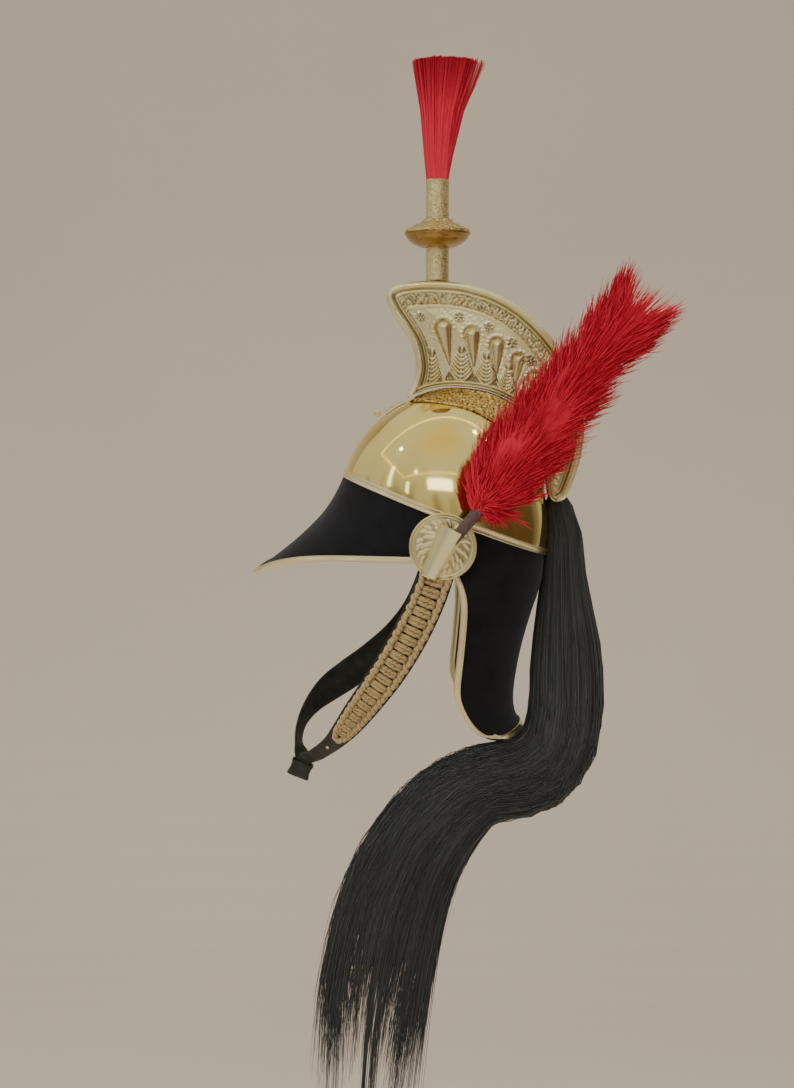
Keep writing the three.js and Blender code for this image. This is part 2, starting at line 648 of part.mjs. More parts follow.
// Ear bosses: a dished disc with a raised rim on a short hub
const ROSETTE_SIDES = 18
const ROSETTE_MIDDLE = { y: 0.3, z: 11.8 }
const ROSETTE_PROFILE = [
  { radius: 0, height: -ROSETTE_STAND }, { radius: ROSETTE_HUB, height: -ROSETTE_STAND },
  { radius: ROSETTE_HUB, height: 0 }, { radius: 30, height: 0 }, { radius: ROSETTE_RADIUS, height: 1.4 },
  { radius: 31, height: 3.4 }, { radius: 28, height: 2.4 }, { radius: 14, height: 4.4 },
  { radius: 0, height: 5.2 },
]

function makeRosette(name, side) {
  const geometry = lathe(ROSETTE_PROFILE, ROSETTE_SIDES).rotateY(side * Math.PI / 2)
  place(name, geometry, castBrass, vec(side * ROSETTE_BACK, ROSETTE_MIDDLE.y, ROSETTE_MIDDLE.z))
}

// Plume holder: a tapered half cone on the left boss, bored for the stem
const SOCKET_FOOT = { y: -11, z: -19 }
const SOCKET_MOUTH = { y: 13, z: 27 }
const STEM_FOOT = vec(111.5, 9, 12)
const STEM_HEAD = vec(112.5, 36, 50)

const SOCKET_STAND = 5.6
const SOCKET_ARCH = 0.8
const SOCKET_STEPS = 8
const SOCKET_ROWS = [
  { t: 0, half: 7, high: 5 }, { t: 0.35, half: 9, high: 9 }, { t: 0.7, half: 11, high: 14 },
  { t: 1, half: 12, high: 16.5 },
]

// A round rod along the stem's axis, longer by the given amount
function stemRod(topRadius, footRadius, extra, sides) {
  const stem = STEM_HEAD.clone().sub(STEM_FOOT)
  const rod = new THREE.CylinderGeometry(topRadius, footRadius, stem.length() + extra, sides)
  rod.applyQuaternion(new THREE.Quaternion().setFromUnitVectors(vec(0, 1, 0), stem.clone().normalize()))
  const middle = STEM_FOOT.clone().lerp(STEM_HEAD, 0.5)
  return rod.translate(middle.x, middle.y, middle.z)
}

function makeSocket() {
  const start = vec(ROSETTE_BACK + SOCKET_STAND, SOCKET_FOOT.y, SOCKET_FOOT.z)
  const end = vec(ROSETTE_BACK + SOCKET_STAND, SOCKET_MOUTH.y, SOCKET_MOUTH.z)
  const along = end.clone().sub(start).normalize()
  const across = along.clone().cross(vec(1, 0, 0)).normalize()
  const loops = SOCKET_ROWS.map(({ t, half, high }) => Array.from({ length: SOCKET_STEPS + 1 }, (_, k) => {
    const turn = Math.PI * k / SOCKET_STEPS
    const point = start.clone().lerp(end, t).addScaledVector(across, -half * Math.cos(turn))
    point.x += high * Math.sin(turn) ** SOCKET_ARCH
    return point
  }))
  const bore = stemRod(STEM_RADIUS + GAP, STEM_RADIUS + GAP, 2 * GAP, 16)
  place('plume_socket', toGeometry(toManifold(loft(loops)).subtract(toManifold(bore))), castBrass)
}

function makeStem() {
  place('plume_stem', stemRod(STEM_RADIUS - STEM_TAPER, STEM_RADIUS, 0, 12), darkWood)
}

// Side plume: a feather body with pointed barbs on its edges and a split tip
const PLUME_ROWS = [
  { x: 111.5, y: 38, z: 53, half: 5, depth: 5 }, { x: 112, y: 44, z: 61, half: 20, depth: 12 },
  { x: 113, y: 55, z: 75, half: 35, depth: 18 }, { x: 114, y: 70, z: 97, half: 38, depth: 20 },
  { x: 115, y: 89, z: 121, half: 35, depth: 20 }, { x: 116, y: 111, z: 149, half: 31, depth: 19 },
  { x: 117, y: 132, z: 177, half: 28, depth: 17 }, { x: 118, y: 153, z: 202, half: 28, depth: 15 },
  { x: 119, y: 172, z: 225, half: 27, depth: 12 }, { x: 120, y: 188, z: 243, half: 20, depth: 8 },
]

function sweepRows(rows, steps, sides, lobes) {
  const at = (u) => readTable(rows, u)
  const spot = (row) => vec(row.x, row.y, row.z)
  return Array.from({ length: steps + 1 }, (_, i) => {
    const u = i / steps
    const row = at(u)
    const along = spot(at(Math.min(1, u + 0.02))).sub(spot(at(Math.max(0, u - 0.02)))).normalize()
    const depthWay = vec(1, 0, 0).addScaledVector(along, -along.x).normalize()
    const acrossWay = along.clone().cross(depthWay)
    return Array.from({ length: sides }, (__, k) => {
      const turn = k * 2 * Math.PI / sides
      const lobe = 1 - lobes * ((k + (i % 2)) % 2)
      return spot(row).addScaledVector(acrossWay, row.half * lobe * Math.cos(turn))
        .addScaledVector(depthWay, row.depth * lobe * Math.sin(turn))
    })
  })
}

const LOCK_RINGS = [{ share: 0, size: 0.8 }, { share: 0.35, size: 1 }, { share: 0.7, size: 0.6 }]
const LOCK_SIDES = 5

// A pointed lock from a foot to a tip, with a flattened base
function lock(foot, tip, half, depth) {
  const along = tip.clone().sub(foot).normalize()
  const depthWay = vec(1, 0, 0).addScaledVector(along, -along.x).normalize()
  const across = along.clone().cross(depthWay)
  const rings = LOCK_RINGS.map(({ share, size }) => Array.from({ length: LOCK_SIDES }, (_, k) => {
    const turn = k * 2 * Math.PI / LOCK_SIDES
    return foot.clone().lerp(tip, share).addScaledVector(across, half * size * Math.cos(turn))
      .addScaledVector(depthWay, depth * size * Math.sin(turn))
  }))
  return loft([...rings, [tip.clone()]])
}

const PLUME_STEPS = 12
const PLUME_SIDES = 10
const PLUME_LOBE = 0.14
const BARB_FIRST = 3
const BARB = { rootShare: 0.5, outShare: 0.3, reach: 15, half: 5, depth: 4 }
const TIP_FOOT = vec(119, 176, 229)
const TIP_LOCKS = [{ tip: vec(120, 186, 269), half: 10 }, { tip: vec(120, 213, 247), half: 12 }]
const TIP_DEPTH = 6

function makeSidePlume() {
  const loops = sweepRows(PLUME_ROWS, PLUME_STEPS, PLUME_SIDES, PLUME_LOBE)
  const middleOf = (loop) => loop[0].clone().lerp(loop[PLUME_SIDES / 2], 0.5)
  const pieces = [loft(loops)]
  for (let i = BARB_FIRST; i < PLUME_STEPS; i += 2) {
    const middle = middleOf(loops[i])
    const forward = middleOf(loops[i + 1]).sub(middle).normalize()
    for (const root of [loops[i][0], loops[i][PLUME_SIDES / 2]]) {
      const outward = root.clone().sub(middle)
      const foot = middle.clone().addScaledVector(outward, BARB.rootShare)
      const tip = root.clone().addScaledVector(outward, BARB.outShare).addScaledVector(forward, BARB.reach)
      pieces.push(lock(foot, tip, BARB.half, BARB.depth))
    }
  }
  for (const { tip, half } of TIP_LOCKS) pieces.push(lock(TIP_FOOT, tip, half, TIP_DEPTH))
  place('side_plume', toGeometry(fuse(pieces)), redHair)
}

// Chin strap halves, from the ear to the slider below the chin
const STRAP_LEFT = [
  { x: 92.8, y: -3, z: -6.5, width: 33 }, { x: 92.4, y: -11, z: -31, width: 34 },
  { x: 88.5, y: -24, z: -61, width: 35 }, { x: 82, y: -38, z: -88, width: 35 },
  { x: 75, y: -51.5, z: -111, width: 34 }, { x: 67, y: -65.5, z: -132, width: 32 },
  { x: 56, y: -81.5, z: -155, width: 29 }, { x: 44, y: -95, z: -174, width: 24 },
  { x: 32, y: -108.5, z: -190, width: 18 }, { x: 19, y: -124, z: -203, width: 16 },
  { x: 9, y: -132.5, z: -208, width: 14.5 }, { x: 3, y: -137.6, z: -214.5, width: 14 },
]
const STRAP_RIGHT = [
  { x: -92.8, y: 1, z: -6.5, width: 33 }, { x: -92.4, y: -5, z: -36, width: 34 },
  { x: -87.5, y: -20, z: -70, width: 34 }, { x: -79, y: -41, z: -96, width: 33 },
  { x: -68, y: -68, z: -118, width: 32 }, { x: -55, y: -93, z: -134, width: 31 },
  { x: -42, y: -112, z: -146, width: 28 }, { x: -30, y: -127, z: -159, width: 21 },
  { x: -20, y: -138, z: -175, width: 15 }, { x: -12, y: -142, z: -191, width: 14 },
  { x: -5.6, y: -140, z: -203.5, width: 14.5 }, { x: -1.6, y: -137.4, z: -214.5, width: 14 },
]
const STRAP_CENTRE = vec(0, -50, -110)
const STRAP_STEPS = 36
const LACE_FIRST = 1
const LACE_LAST = 25
const LACE_ROUND = { start: 0.7, length: 2.4 }
const EAR_SHARE = { from: 0.06, to: 0.3 }
const SLIDER_SHARE = 0.82
const STRAP_LOOK = 0.01

function strapFrame(rows, u) {
  const row = readTable(rows, u)
  const spot = vec(row.x, row.y, row.z)
  const before = readTable(rows, Math.max(0, u - STRAP_LOOK))
  const after = readTable(rows, Math.min(1, u + STRAP_LOOK))
  const along = vec(after.x - before.x, after.y - before.y, after.z - before.z).normalize()
  const outward = spot.clone().sub(STRAP_CENTRE).normalize()
  const nearSlider = THREE.MathUtils.smoothstep(u, SLIDER_SHARE, 1)
  const nearEar = 1 - THREE.MathUtils.smoothstep(u, EAR_SHARE.from, EAR_SHARE.to)
  outward.lerp(vec(Math.sign(rows[0].x), 0, 0), Math.max(nearSlider, nearEar))
  outward.addScaledVector(along, -outward.dot(along)).normalize()
  const across = along.clone().cross(outward).normalize()
  return { spot, outward, across, width: row.width }
}

function makeStrap(name, rows) {
  const loops = Array.from({ length: STRAP_STEPS + 1 }, (_, i) => {
    const { spot, outward, across, width } = strapFrame(rows, i / STRAP_STEPS)
    const corner = (side, lift) => (
      spot.clone().addScaledVector(across, side * width / 2).addScaledVector(outward, lift))
    return [corner(-1, 0), corner(1, 0), corner(1, STRAP_THICK), corner(-1, STRAP_THICK)]
  })
  place(name, loft(loops), leather)
}

// Cord lacing: two side cords and the rungs between them, on the outside of the strap
const LACE_TOP = [
  { side: -0.97, cord: true }, { side: -0.55, cord: false }, { side: 0.55, cord: false },
  { side: 0.97, cord: true },
]

function makeLace(name, rows) {
  const loops = []
  for (let i = LACE_FIRST; i <= LACE_LAST; i += 1) {
    const { spot, outward, across, width } = strapFrame(rows, i / STRAP_STEPS)
    const round = Math.min(1, (LACE_LAST + LACE_ROUND.start - i) / LACE_ROUND.length)
    const half = (width / 2 - LACE_MARGIN) * Math.sqrt(round)
    const rung = LACE_THICK * (i % 2 ? 1 : LACE_HOLLOW)
    const corner = (side, high) => (
      spot.clone().addScaledVector(across, side * half).addScaledVector(outward, STRAP_THICK + GAP + high))
    const top = LACE_TOP.map(({ side, cord }) => corner(side, cord ? LACE_THICK : rung))
    loops.push([corner(1, 0), corner(-1, 0), ...top])
  }
  place(name, loft(loops), goldCord)
}

// Slider: a leather sleeve that gathers the two ends of the strap
function makeSlider() {
  const body = new THREE.BoxGeometry(SLIDER.width, SLIDER.depth, SLIDER.height)
  const slot = new THREE.BoxGeometry(SLIDER.slotWidth, SLIDER.slotDepth, 2 * SLIDER.height)
  const sleeve = toGeometry(toManifold(body).subtract(toManifold(slot)))
  const mesh = place('strap_slider', sleeve, leather, vec(SLIDER_SPOT.x, SLIDER_SPOT.y, SLIDER_SPOT.z))
  mesh.rotation.set(-THREE.MathUtils.degToRad(SLIDER.tilt), 0, 0)
}

// Horsehair tail: falls behind, then comes forward over the left shoulder
const TAIL_ROWS = [
  { x: 0, y: 119, z: 46, half: 7, depth: 7 }, { x: 0, y: 125, z: 20, half: 13.5, depth: 13 },
  { x: 0, y: 127, z: -10, half: 16.5, depth: 16 }, { x: 1, y: 127, z: -40, half: 21, depth: 20 },
  { x: 2, y: 126, z: -70, half: 28, depth: 23 }, { x: 4, y: 127, z: -100, half: 32, depth: 26 },
  { x: 8, y: 127, z: -130, half: 34, depth: 28 }, { x: 15, y: 126, z: -161, half: 34, depth: 28 },
  { x: 26, y: 117, z: -193, half: 36, depth: 27 }, { x: 41, y: 97, z: -213, half: 38, depth: 25 },
  { x: 57, y: 69, z: -221, half: 37, depth: 23 }, { x: 72, y: 42, z: -220, half: 36, depth: 21 },
  { x: 86, y: 12, z: -236, half: 41, depth: 19 }, { x: 96, y: -14, z: -263, half: 44, depth: 18 },
  { x: 103, y: -36, z: -300, half: 47, depth: 17 }, { x: 108, y: -51, z: -343, half: 51, depth: 16 },
  { x: 112, y: -61, z: -390, half: 54, depth: 15 }, { x: 114, y: -69, z: -440, half: 56, depth: 13 },
]
const TAIL_STEPS = 20
const TAIL_SIDES = 12
const TAIL_LOBE = 0.1
const TAIL_LOCKS = [
  { across: -50, length: 96, half: 10 }, { across: -36, length: 128, half: 11 },
  { across: -21, length: 112, half: 12 }, { across: -6, length: 138, half: 12 },
  { across: 9, length: 118, half: 11 }, { across: 23, length: 132, half: 11 },
  { across: 37, length: 108, half: 11 }, { across: 50, length: 84, half: 9 },
]
const LOCK_ROOT = { spread: 0.94, height: 26 }
const LOCK_END = { x: 2, y: -8, spread: 0.98 }
const LOCK_DEPTH = 9

function makeTail() {
  const pieces = [loft(sweepRows(TAIL_ROWS, TAIL_STEPS, TAIL_SIDES, TAIL_LOBE))]
  const foot = readTable(TAIL_ROWS, 1)
  for (const { across, length, half } of TAIL_LOCKS) {
    const start = vec(foot.x, foot.y + across * LOCK_ROOT.spread, foot.z + LOCK_ROOT.height)
    const end = vec(foot.x + LOCK_END.x, foot.y + across * LOCK_END.spread + LOCK_END.y, foot.z - length)
    pieces.push(lock(start, end, half, LOCK_DEPTH))
  }
  place('horsehair_tail', toGeometry(fuse(pieces)), blackHair)
}

makeBowl()
makeRimBand()
makePeak()
makeNeckGuard()
makeCrestPlate('crest_plate_left', 1)
makeCrestPlate('crest_plate_right', -1)
makeCrestRidge()
makeCrestSkirt('crest_base_left', 1)
makeCrestSkirt('crest_base_right', -1)
makeTongue()
makePlumeTube()
makePlumeDisc()
makeBrush()
makeRosette('rosette_left', 1)
makeRosette('rosette_right', -1)
makeSocket()
makeStem()
makeSidePlume()
makeStrap('chin_strap_left', STRAP_LEFT)
makeStrap('chin_strap_right', STRAP_RIGHT)
makeLace('cord_lace_left', STRAP_LEFT)
makeLace('cord_lace_right', STRAP_RIGHT)
makeSlider()
makeTail()

export default helmet
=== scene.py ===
import json
import math

import bpy
import numpy as np
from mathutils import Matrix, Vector

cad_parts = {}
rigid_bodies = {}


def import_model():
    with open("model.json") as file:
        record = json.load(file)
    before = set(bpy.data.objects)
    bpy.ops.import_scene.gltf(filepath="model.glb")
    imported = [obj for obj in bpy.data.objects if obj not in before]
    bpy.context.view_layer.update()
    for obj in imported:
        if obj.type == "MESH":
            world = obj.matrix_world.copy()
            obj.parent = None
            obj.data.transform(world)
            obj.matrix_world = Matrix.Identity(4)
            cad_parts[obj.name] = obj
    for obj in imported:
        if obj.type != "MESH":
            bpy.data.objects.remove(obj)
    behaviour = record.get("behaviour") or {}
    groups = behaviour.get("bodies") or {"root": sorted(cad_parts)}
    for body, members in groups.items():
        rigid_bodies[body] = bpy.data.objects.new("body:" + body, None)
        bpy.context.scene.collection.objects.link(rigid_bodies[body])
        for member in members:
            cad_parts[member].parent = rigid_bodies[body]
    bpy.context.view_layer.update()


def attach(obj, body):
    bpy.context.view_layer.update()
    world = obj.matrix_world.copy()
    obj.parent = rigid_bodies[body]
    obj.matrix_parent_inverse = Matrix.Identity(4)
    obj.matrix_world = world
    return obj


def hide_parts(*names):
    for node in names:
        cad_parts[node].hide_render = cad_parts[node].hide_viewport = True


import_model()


# Camera: level with the crown on the wearer's left, looking slightly down.
# The frame is 794 by 1088 pixels, and a view as wide as it is far away spans 1727 of them.
FRAME_HEIGHT = 1088
VIEW_PIXELS = 1727
CAMERA_DROP = math.radians(4.9)
camera_data = bpy.data.cameras.new("camera")
camera_data.sensor_width = 36
camera_data.lens = VIEW_PIXELS / FRAME_HEIGHT * camera_data.sensor_width
camera = bpy.data.objects.new("camera", camera_data)
camera.location = (1.720, -0.043, 0.1535)
camera_way = Vector((-math.cos(CAMERA_DROP), 0, -math.sin(CAMERA_DROP)))
camera.rotation_euler = camera_way.to_track_quat("-Z", "Y").to_euler()
bpy.context.scene.collection.objects.link(camera)
bpy.context.scene.camera = camera


# Bowl: one dome of polished brass, 1.2 mm thick, raised from a disc and leaning forward to its crown.
# Its rim is an oval that tilts down to the rear. Shapes here and below are worked out in millimetres.
RIM_TILT = math.radians(21.2)
RIM_MIDDLE_Y = 5.6
RIM_MIDDLE_Z = 39
BOWL_HALF_LENGTH = 107.5
BOWL_HALF_WIDTH = 88
BOWL_HEIGHT = 117
BOWL_FULLNESS = 1.77
BOWL_LEAN = 0.133
BOWL_WALL = 1.2
BOWL_SIDES = 144


def from_rim(side, forward, height):
    """A point from the rim's middle, with forward and height turned by the rim's tilt."""
    y = RIM_MIDDLE_Y - forward * math.cos(RIM_TILT) + height * math.sin(RIM_TILT)
    z = RIM_MIDDLE_Z + forward * math.sin(RIM_TILT) + height * math.cos(RIM_TILT)
    return np.stack(np.broadcast_arrays(side, y, z), -1)


def bowl_point(turn, rise, offset=0.0):
    """An ellipse in plan, at turn from the front. Width and lift are powers of the rise's cos and sin."""
    lift = np.sin(rise * np.pi / 2) ** (2 / BOWL_FULLNESS)
    width = np.maximum(np.cos(rise * np.pi / 2), 0) ** (2 / BOWL_FULLNESS)
    height = (BOWL_HEIGHT + offset) * lift
    forward = width * (BOWL_HALF_LENGTH + offset) * np.cos(turn) + BOWL_LEAN * height
    return from_rim(width * (BOWL_HALF_WIDTH + offset) * np.sin(turn), forward, height)


def quads(rows, columns, wrap_rows=False, wrap_columns=False):
    """Faces of a grid of points in reading order, which may close on itself either way."""
    i = np.arange(rows if wrap_rows else rows - 1)[:, None]
    j = np.arange(columns if wrap_columns else columns - 1)[None, :]
    up, on = (i + 1) % rows, (j + 1) % columns
    corners = [i * columns + j, up * columns + j, up * columns + on, i * columns + on]
    return np.stack(corners, -1).reshape(-1, 4)


def circle(count):
    """Angles of even steps round a circle."""
    return np.linspace(0, 2 * np.pi, count, endpoint=False)


def capped(rows, columns):
    """Faces of a grid that closes on itself across its columns, with one face over each end."""
    ends = np.arange(columns)[None, :] + np.array([[0], [(rows - 1) * columns]])
    return [quads(rows, columns, wrap_columns=True), ends[:1, ::-1], ends[1:]]


def put(name, points, faces, material, slot, replaces=(), marks=None):
    """One smooth object at the origin from points in millimetres and one or more arrays of faces.

    Faces are turned round if the volume they enclose comes out negative. marks are values for each point.
    """
    points = np.asarray(points, np.float64).reshape(-1, 3) * 0.001
    faces = faces if isinstance(faces, list) else [faces]
    volume = 0
    for part in faces:
        for k in range(1, part.shape[1] - 1):
            a, b, c = points[part[:, 0]], points[part[:, k]], points[part[:, k + 1]]
            volume += np.einsum("ij,ij->", a, np.cross(b, c))
    if volume < 0:
        faces = [part[:, ::-1] for part in faces]
    mesh = bpy.data.meshes.new(name)
    mesh.vertices.add(len(points))
    mesh.vertices.foreach_set("co", points.astype(np.float32).ravel())
    corners = np.concatenate([part.ravel() for part in faces])
    mesh.loops.add(len(corners))
    mesh.loops.foreach_set("vertex_index", corners.astype(np.int32))
    sizes = np.concatenate([np.full(len(part), part.shape[1]) for part in faces])
    mesh.polygons.add(len(sizes))
    mesh.polygons.foreach_set("loop_start", (np.cumsum(sizes) - sizes).astype(np.int32))
    mesh.polygons.foreach_set("use_smooth", np.ones(len(sizes), bool))
    mesh.update(calc_edges=True)
    for key, values in (marks or {}).items():
        values = np.asarray(values, np.float32)
        vectors = values.ndim > 1 and values.shape[-1] == 3
        kind, field = ("FLOAT_VECTOR", "vector") if vectors else ("FLOAT", "value")
        mesh.attributes.new(key, kind, "POINT").data.foreach_set(field, values.ravel())
    mesh.materials.append(material)
    piece = bpy.data.objects.new(name, mesh)
    bpy.context.scene.collection.objects.link(piece)
    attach(piece, "root")
    if replaces:
        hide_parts(*replaces)
    return piece


def graph(name):
    """A material with one Principled shader, as the material, its node tree and the shader."""
    material = bpy.data.materials.new(name)
    material.use_nodes = True
    tree = material.node_tree
    tree.nodes.clear()
    shader = tree.nodes.new("ShaderNodeBsdfPrincipled")
    tree.links.new(shader.outputs[0], tree.nodes.new("ShaderNodeOutputMaterial").inputs[0])
    return material, tree, shader


def feed(tree, target, **values):
    """Set or link the inputs of a node, with underscores for the spaces in their names."""
    for key, value in values.items():
        socket = target.inputs[key.replace("_", " ")]
        if isinstance(value, bpy.types.NodeSocket):
            tree.links.new(value, socket)
        else:
            socket.default_value = value
    return target


def node(tree, kind, settings=None, **values):
    made = tree.nodes.new("ShaderNode" + kind)
    for key, value in (settings or {}).items():
        setattr(made, key, value)
    return feed(tree, made, **values)


def place_in(tree, stretch=(1, 1, 1)):
    """Object coordinates in metres, stretched along the axes."""
    return node(tree, "Mapping", Vector=node(tree, "TexCoord").outputs["Object"], Scale=stretch).outputs[0]


def noise(tree, place, scale, detail, roughness=0.55):
    return node(tree, "TexNoise", Vector=place, Scale=scale, Detail=detail, Roughness=roughness).outputs[0]


def ramp(tree, value, *stops):
    """A colour ramp through stops of position and colour."""
    made = node(tree, "ValToRGB", Fac=value)
    elements = made.color_ramp.elements
    while len(elements) < len(stops):
        elements.new(0.5)
    for element, (position, color) in zip(elements, stops):
        element.position = position
        element.color = (*color, 1)
    return made.outputs[0]


def blend(tree, share, first, second):
    return node(tree, "MixRGB", Fac=share, Color1=first, Color2=second).outputs[0]


def mark(tree, name, output="Fac"):
    """A value that each point of a mesh carries."""
    return node(tree, "Attribute", {"attribute_name": name}).outputs[output]


def times(tree, first, second):
    made = node(tree, "Math", {"operation": "MULTIPLY"})
    tree.links.new(first, made.inputs[0])
    tree.links.new(second, made.inputs[1])
    return made.outputs[0]


def level(tree, value, low, high, start=0.0, end=1.0):
    """A value between start and end mapped to low and high."""
    made = node(tree, "MapRange", Value=value)
    return feed(tree, made, From_Min=start, From_Max=end, To_Min=low, To_Max=high).outputs[0]


def bump(tree, height, strength, distance, under=None):
    made = node(tree, "Bump", Height=height, Strength=strength, Distance=distance)
    if under is not None:
        feed(tree, made, Normal=under)
    return made.outputs[0]


def tint(red, green, blue):
    """Linear colour of an 8 bit sRGB colour."""
    share = np.array([red, green, blue]) / 255
    linear = np.where(share <= 0.04045, share / 12.92, ((share + 0.055) / 1.055) ** 2.4)
    return tuple(float(v) for v in linear)


CELLS_PER_METRE = 330


def brass(name, light, dark, rough, grain, painted_shade_tone=tint(86, 66, 36), stipple=0.0):
    """Cloudy, finely scratched brass, with painted shade by the mark hollow, and beads by the mark grain with
    painted shade between them.
    """
    material, tree, shader = graph(name)
    place = place_in(tree)
    tone = ramp(tree, noise(tree, place, 30, 5), (0.32, dark), (0.64, light))
    hollow = mark(tree, "hollow")
    # Painted shade: the mark hollow blends sunk parts of the relief toward a dark brown.
    tone = blend(tree, hollow, tone, (*painted_shade_tone, 1))
    beading = mark(tree, "grain")
    cells = node(tree, "TexVoronoi", Vector=place, Scale=CELLS_PER_METRE).outputs[0]
    # Painted shade between the beads: the farther from a bead's middle, the darker.
    tone = blend(tree, times(tree, beading, level(tree, cells, 0, 0.5, 0.5, 0.8)), tone, (*painted_shade_tone, 1))
    scratches = noise(tree, place_in(tree, (1, 12, 3)), 260, 3)
    normal = bump(tree, scratches, grain, 0.0002)
    normal = bump(tree, level(tree, cells, 1, 0), beading, 0.0016, normal)
    if stipple:
        normal = bump(tree, noise(tree, place, 750, 2, 0.7), stipple, 0.0006, normal)
    gloss = level(tree, noise(tree, place, 70, 4), rough - 0.05, rough + 0.08)
    feed(tree, shader, Base_Color=tone, Metallic=1.0, Roughness=gloss, Normal=normal)
    return material


bowl_brass = brass("bowl_brass", tint(255, 241, 162), tint(252, 230, 140), 0.075, 0.03)
turns = circle(BOWL_SIDES)[None, :]
rises = np.linspace(1, 0, 49)[:, None]
bowl_rows = np.concatenate([bowl_point(turns, rises), bowl_point(turns, rises[::-1], -BOWL_WALL)])
bowl_faces = quads(len(bowl_rows), BOWL_SIDES, wrap_columns=True)
put("bowl", bowl_rows, bowl_faces, bowl_brass, "bowl_brass", ["skull"])


# Rim band: a pressed brass strip with a bead along each edge, soldered round the foot of the bowl.
# It hides the turned edges of the leather peak and neck guard.
BAND_FOOT = -4.2
BAND_TOP = 2.8
BAND_SWELL = 1.15
BAND_INSIDE = 0.3
BAND_SIDES = 240


def rim_point(turn, offset, height):
    """A point beside the rim ellipse, offset outwards and raised along the bowl's axis."""
    side = (BOWL_HALF_WIDTH + offset) * np.sin(turn)
    return from_rim(side, (BOWL_HALF_LENGTH + offset) * np.cos(turn), height)


band_height = np.linspace(BAND_FOOT, BAND_TOP, 23)
band_swell = BAND_SWELL + 0.85 * np.exp(-((band_height - BAND_FOOT - 1) / 0.8) ** 2)
band_swell += 0.8 * np.exp(-((band_height - BAND_TOP + 1) / 0.75) ** 2)
band_offset = np.concatenate([[BAND_INSIDE], band_swell, [BAND_INSIDE]])[:, None]
band_height = np.concatenate([[BAND_FOOT], band_height, [BAND_TOP]])[:, None]
band_rows = rim_point(circle(BAND_SIDES), band_offset, band_height)
trim_brass = brass("trim_brass", tint(255, 250, 204), tint(250, 232, 180), 0.28, 0.12)
band_faces = quads(len(band_rows), BAND_SIDES, True, True)
put("rim_band", band_rows, band_faces, trim_brass, "bowl_brass", ["skull_rim_band"])


# Peak: a 3 mm leather skirt down the brow that turns out into a brim, covered outside in short velvet.
# It is cut to a point in front and sewn under the rim band.
PEAK_REACH = 188.5
PEAK_HALF_WIDTH = 91
PEAK_DIP = 21
PEAK_TURN = math.radians(89)
PEAK_CORNER = 0.37
PEAK_PULL = 10.5
LEATHER = 3.0
PILE = 1.4


def velvet_material():
    """Near black pile: a sheen that lifts grazing edges, brushed patches and a very fine bump."""
    material, tree, shader = graph("velvet")
    place = place_in(tree)
    patch = noise(tree, place, 24, 6, 0.65)
    tone = ramp(tree, patch, (0.25, tint(19, 20, 22)), (0.75, tint(34, 35, 38)))
    pile = bump(tree, noise(tree, place, 1500, 2), 0.7, 0.0005, bump(tree, patch, 0.3, 0.002))
    feed(tree, shader, Base_Color=tone, Roughness=0.95, Specular_IOR_Level=0.12, Normal=pile)
    feed(tree, shader, Sheen_Weight=0.45, Sheen_Roughness=0.4, Sheen_Tint=(0.30, 0.32, 0.36, 1))
    return material


def leather_material(name, tone, rough):
    """Smooth black leather: pebbled grain, creases along the strap and rubbed lighter spots."""
    material, tree, shader = graph(name)
    place = place_in(tree)
    cells = node(tree, "TexVoronoi", {"feature": "DISTANCE_TO_EDGE"}, Vector=place, Scale=900.0).outputs[0]
    rubbed = noise(tree, place, 55, 5, 0.6)
    worn = tuple(v * 2.1 + 0.01 for v in tone)
    feed(tree, shader, Base_Color=ramp(tree, rubbed, (0.42, tone), (0.78, worn)))
    feed(tree, shader, Roughness=level(tree, rubbed, rough + 0.12, rough - 0.1), Specular_IOR_Level=0.45)
    feed(tree, shader, Normal=bump(tree, cells, 0.35, 0.0003, bump(tree, rubbed, 0.25, 0.001)))
    return material


def peak_point(turn, t):
    """A line from the rim to the peak's edge, pulled in to the brow where the skirt turns into the brim.

    The edge is an ellipse that reaches forward by cos(turn) and dips by its sixth power.
    """
    c = np.cos(turn)
    dip = -4 + 4 * c - PEAK_DIP * c ** 6
    edge = np.stack([PEAK_HALF_WIDTH * np.sin(turn), 3 - PEAK_REACH * c, dip], -1)
    bend = np.where(t < PEAK_CORNER, t / PEAK_CORNER, (1 - t) / (1 - PEAK_CORNER))
    pull = (PEAK_PULL * np.sin(bend * np.pi / 2) * c ** 2)[..., None]
    way = np.stack([-0.5 * np.sin(turn), np.full_like(turn, 0.72), np.full_like(turn, -0.69)], -1)
    return rim_point(turn, -0.3, -1) * (1 - t[..., None]) + edge * t[..., None] + pull * way


def normals(grid):
    """Unit normals of a grid of points, from the cross product of its two directions."""
    normal = np.cross(np.gradient(grid, axis=0), np.gradient(grid, axis=1))
    return normal / np.maximum(np.linalg.norm(normal, axis=-1, keepdims=True), 1e-9)


def wall(outer, inner):
    """Points and faces of a closed wall: loops that run out along one grid and back along the other."""
    loops = np.concatenate([outer, inner[:, ::-1]], axis=1)
    return loops, capped(*loops.shape[:2])


def leather_wall(name, top, inside, replaces):
    """The velvet on a leather wall, and the leather under it as a second piece at half the resolution."""
    under = top + PILE * inside
    put(name + "_velvet", *wall(top, under), velvet, "velvet", replaces)
    put(name + "_lining", *wall(under[::2, ::2], (top + LEATHER * inside)[::2, ::2]), lining, "velvet")


velvet = velvet_material()
lining = leather_material("lining_leather", tint(34, 32, 29), 0.55)
peak_turns = np.linspace(-PEAK_TURN, PEAK_TURN, 121)
turn_grid, t_grid = np.meshgrid(peak_turns, np.linspace(0, 1, 37), indexing="ij")
peak_top = peak_point(turn_grid, t_grid)
peak_inside = normals(peak_top)
leather_wall("peak", peak_top, peak_inside, ["peak"])


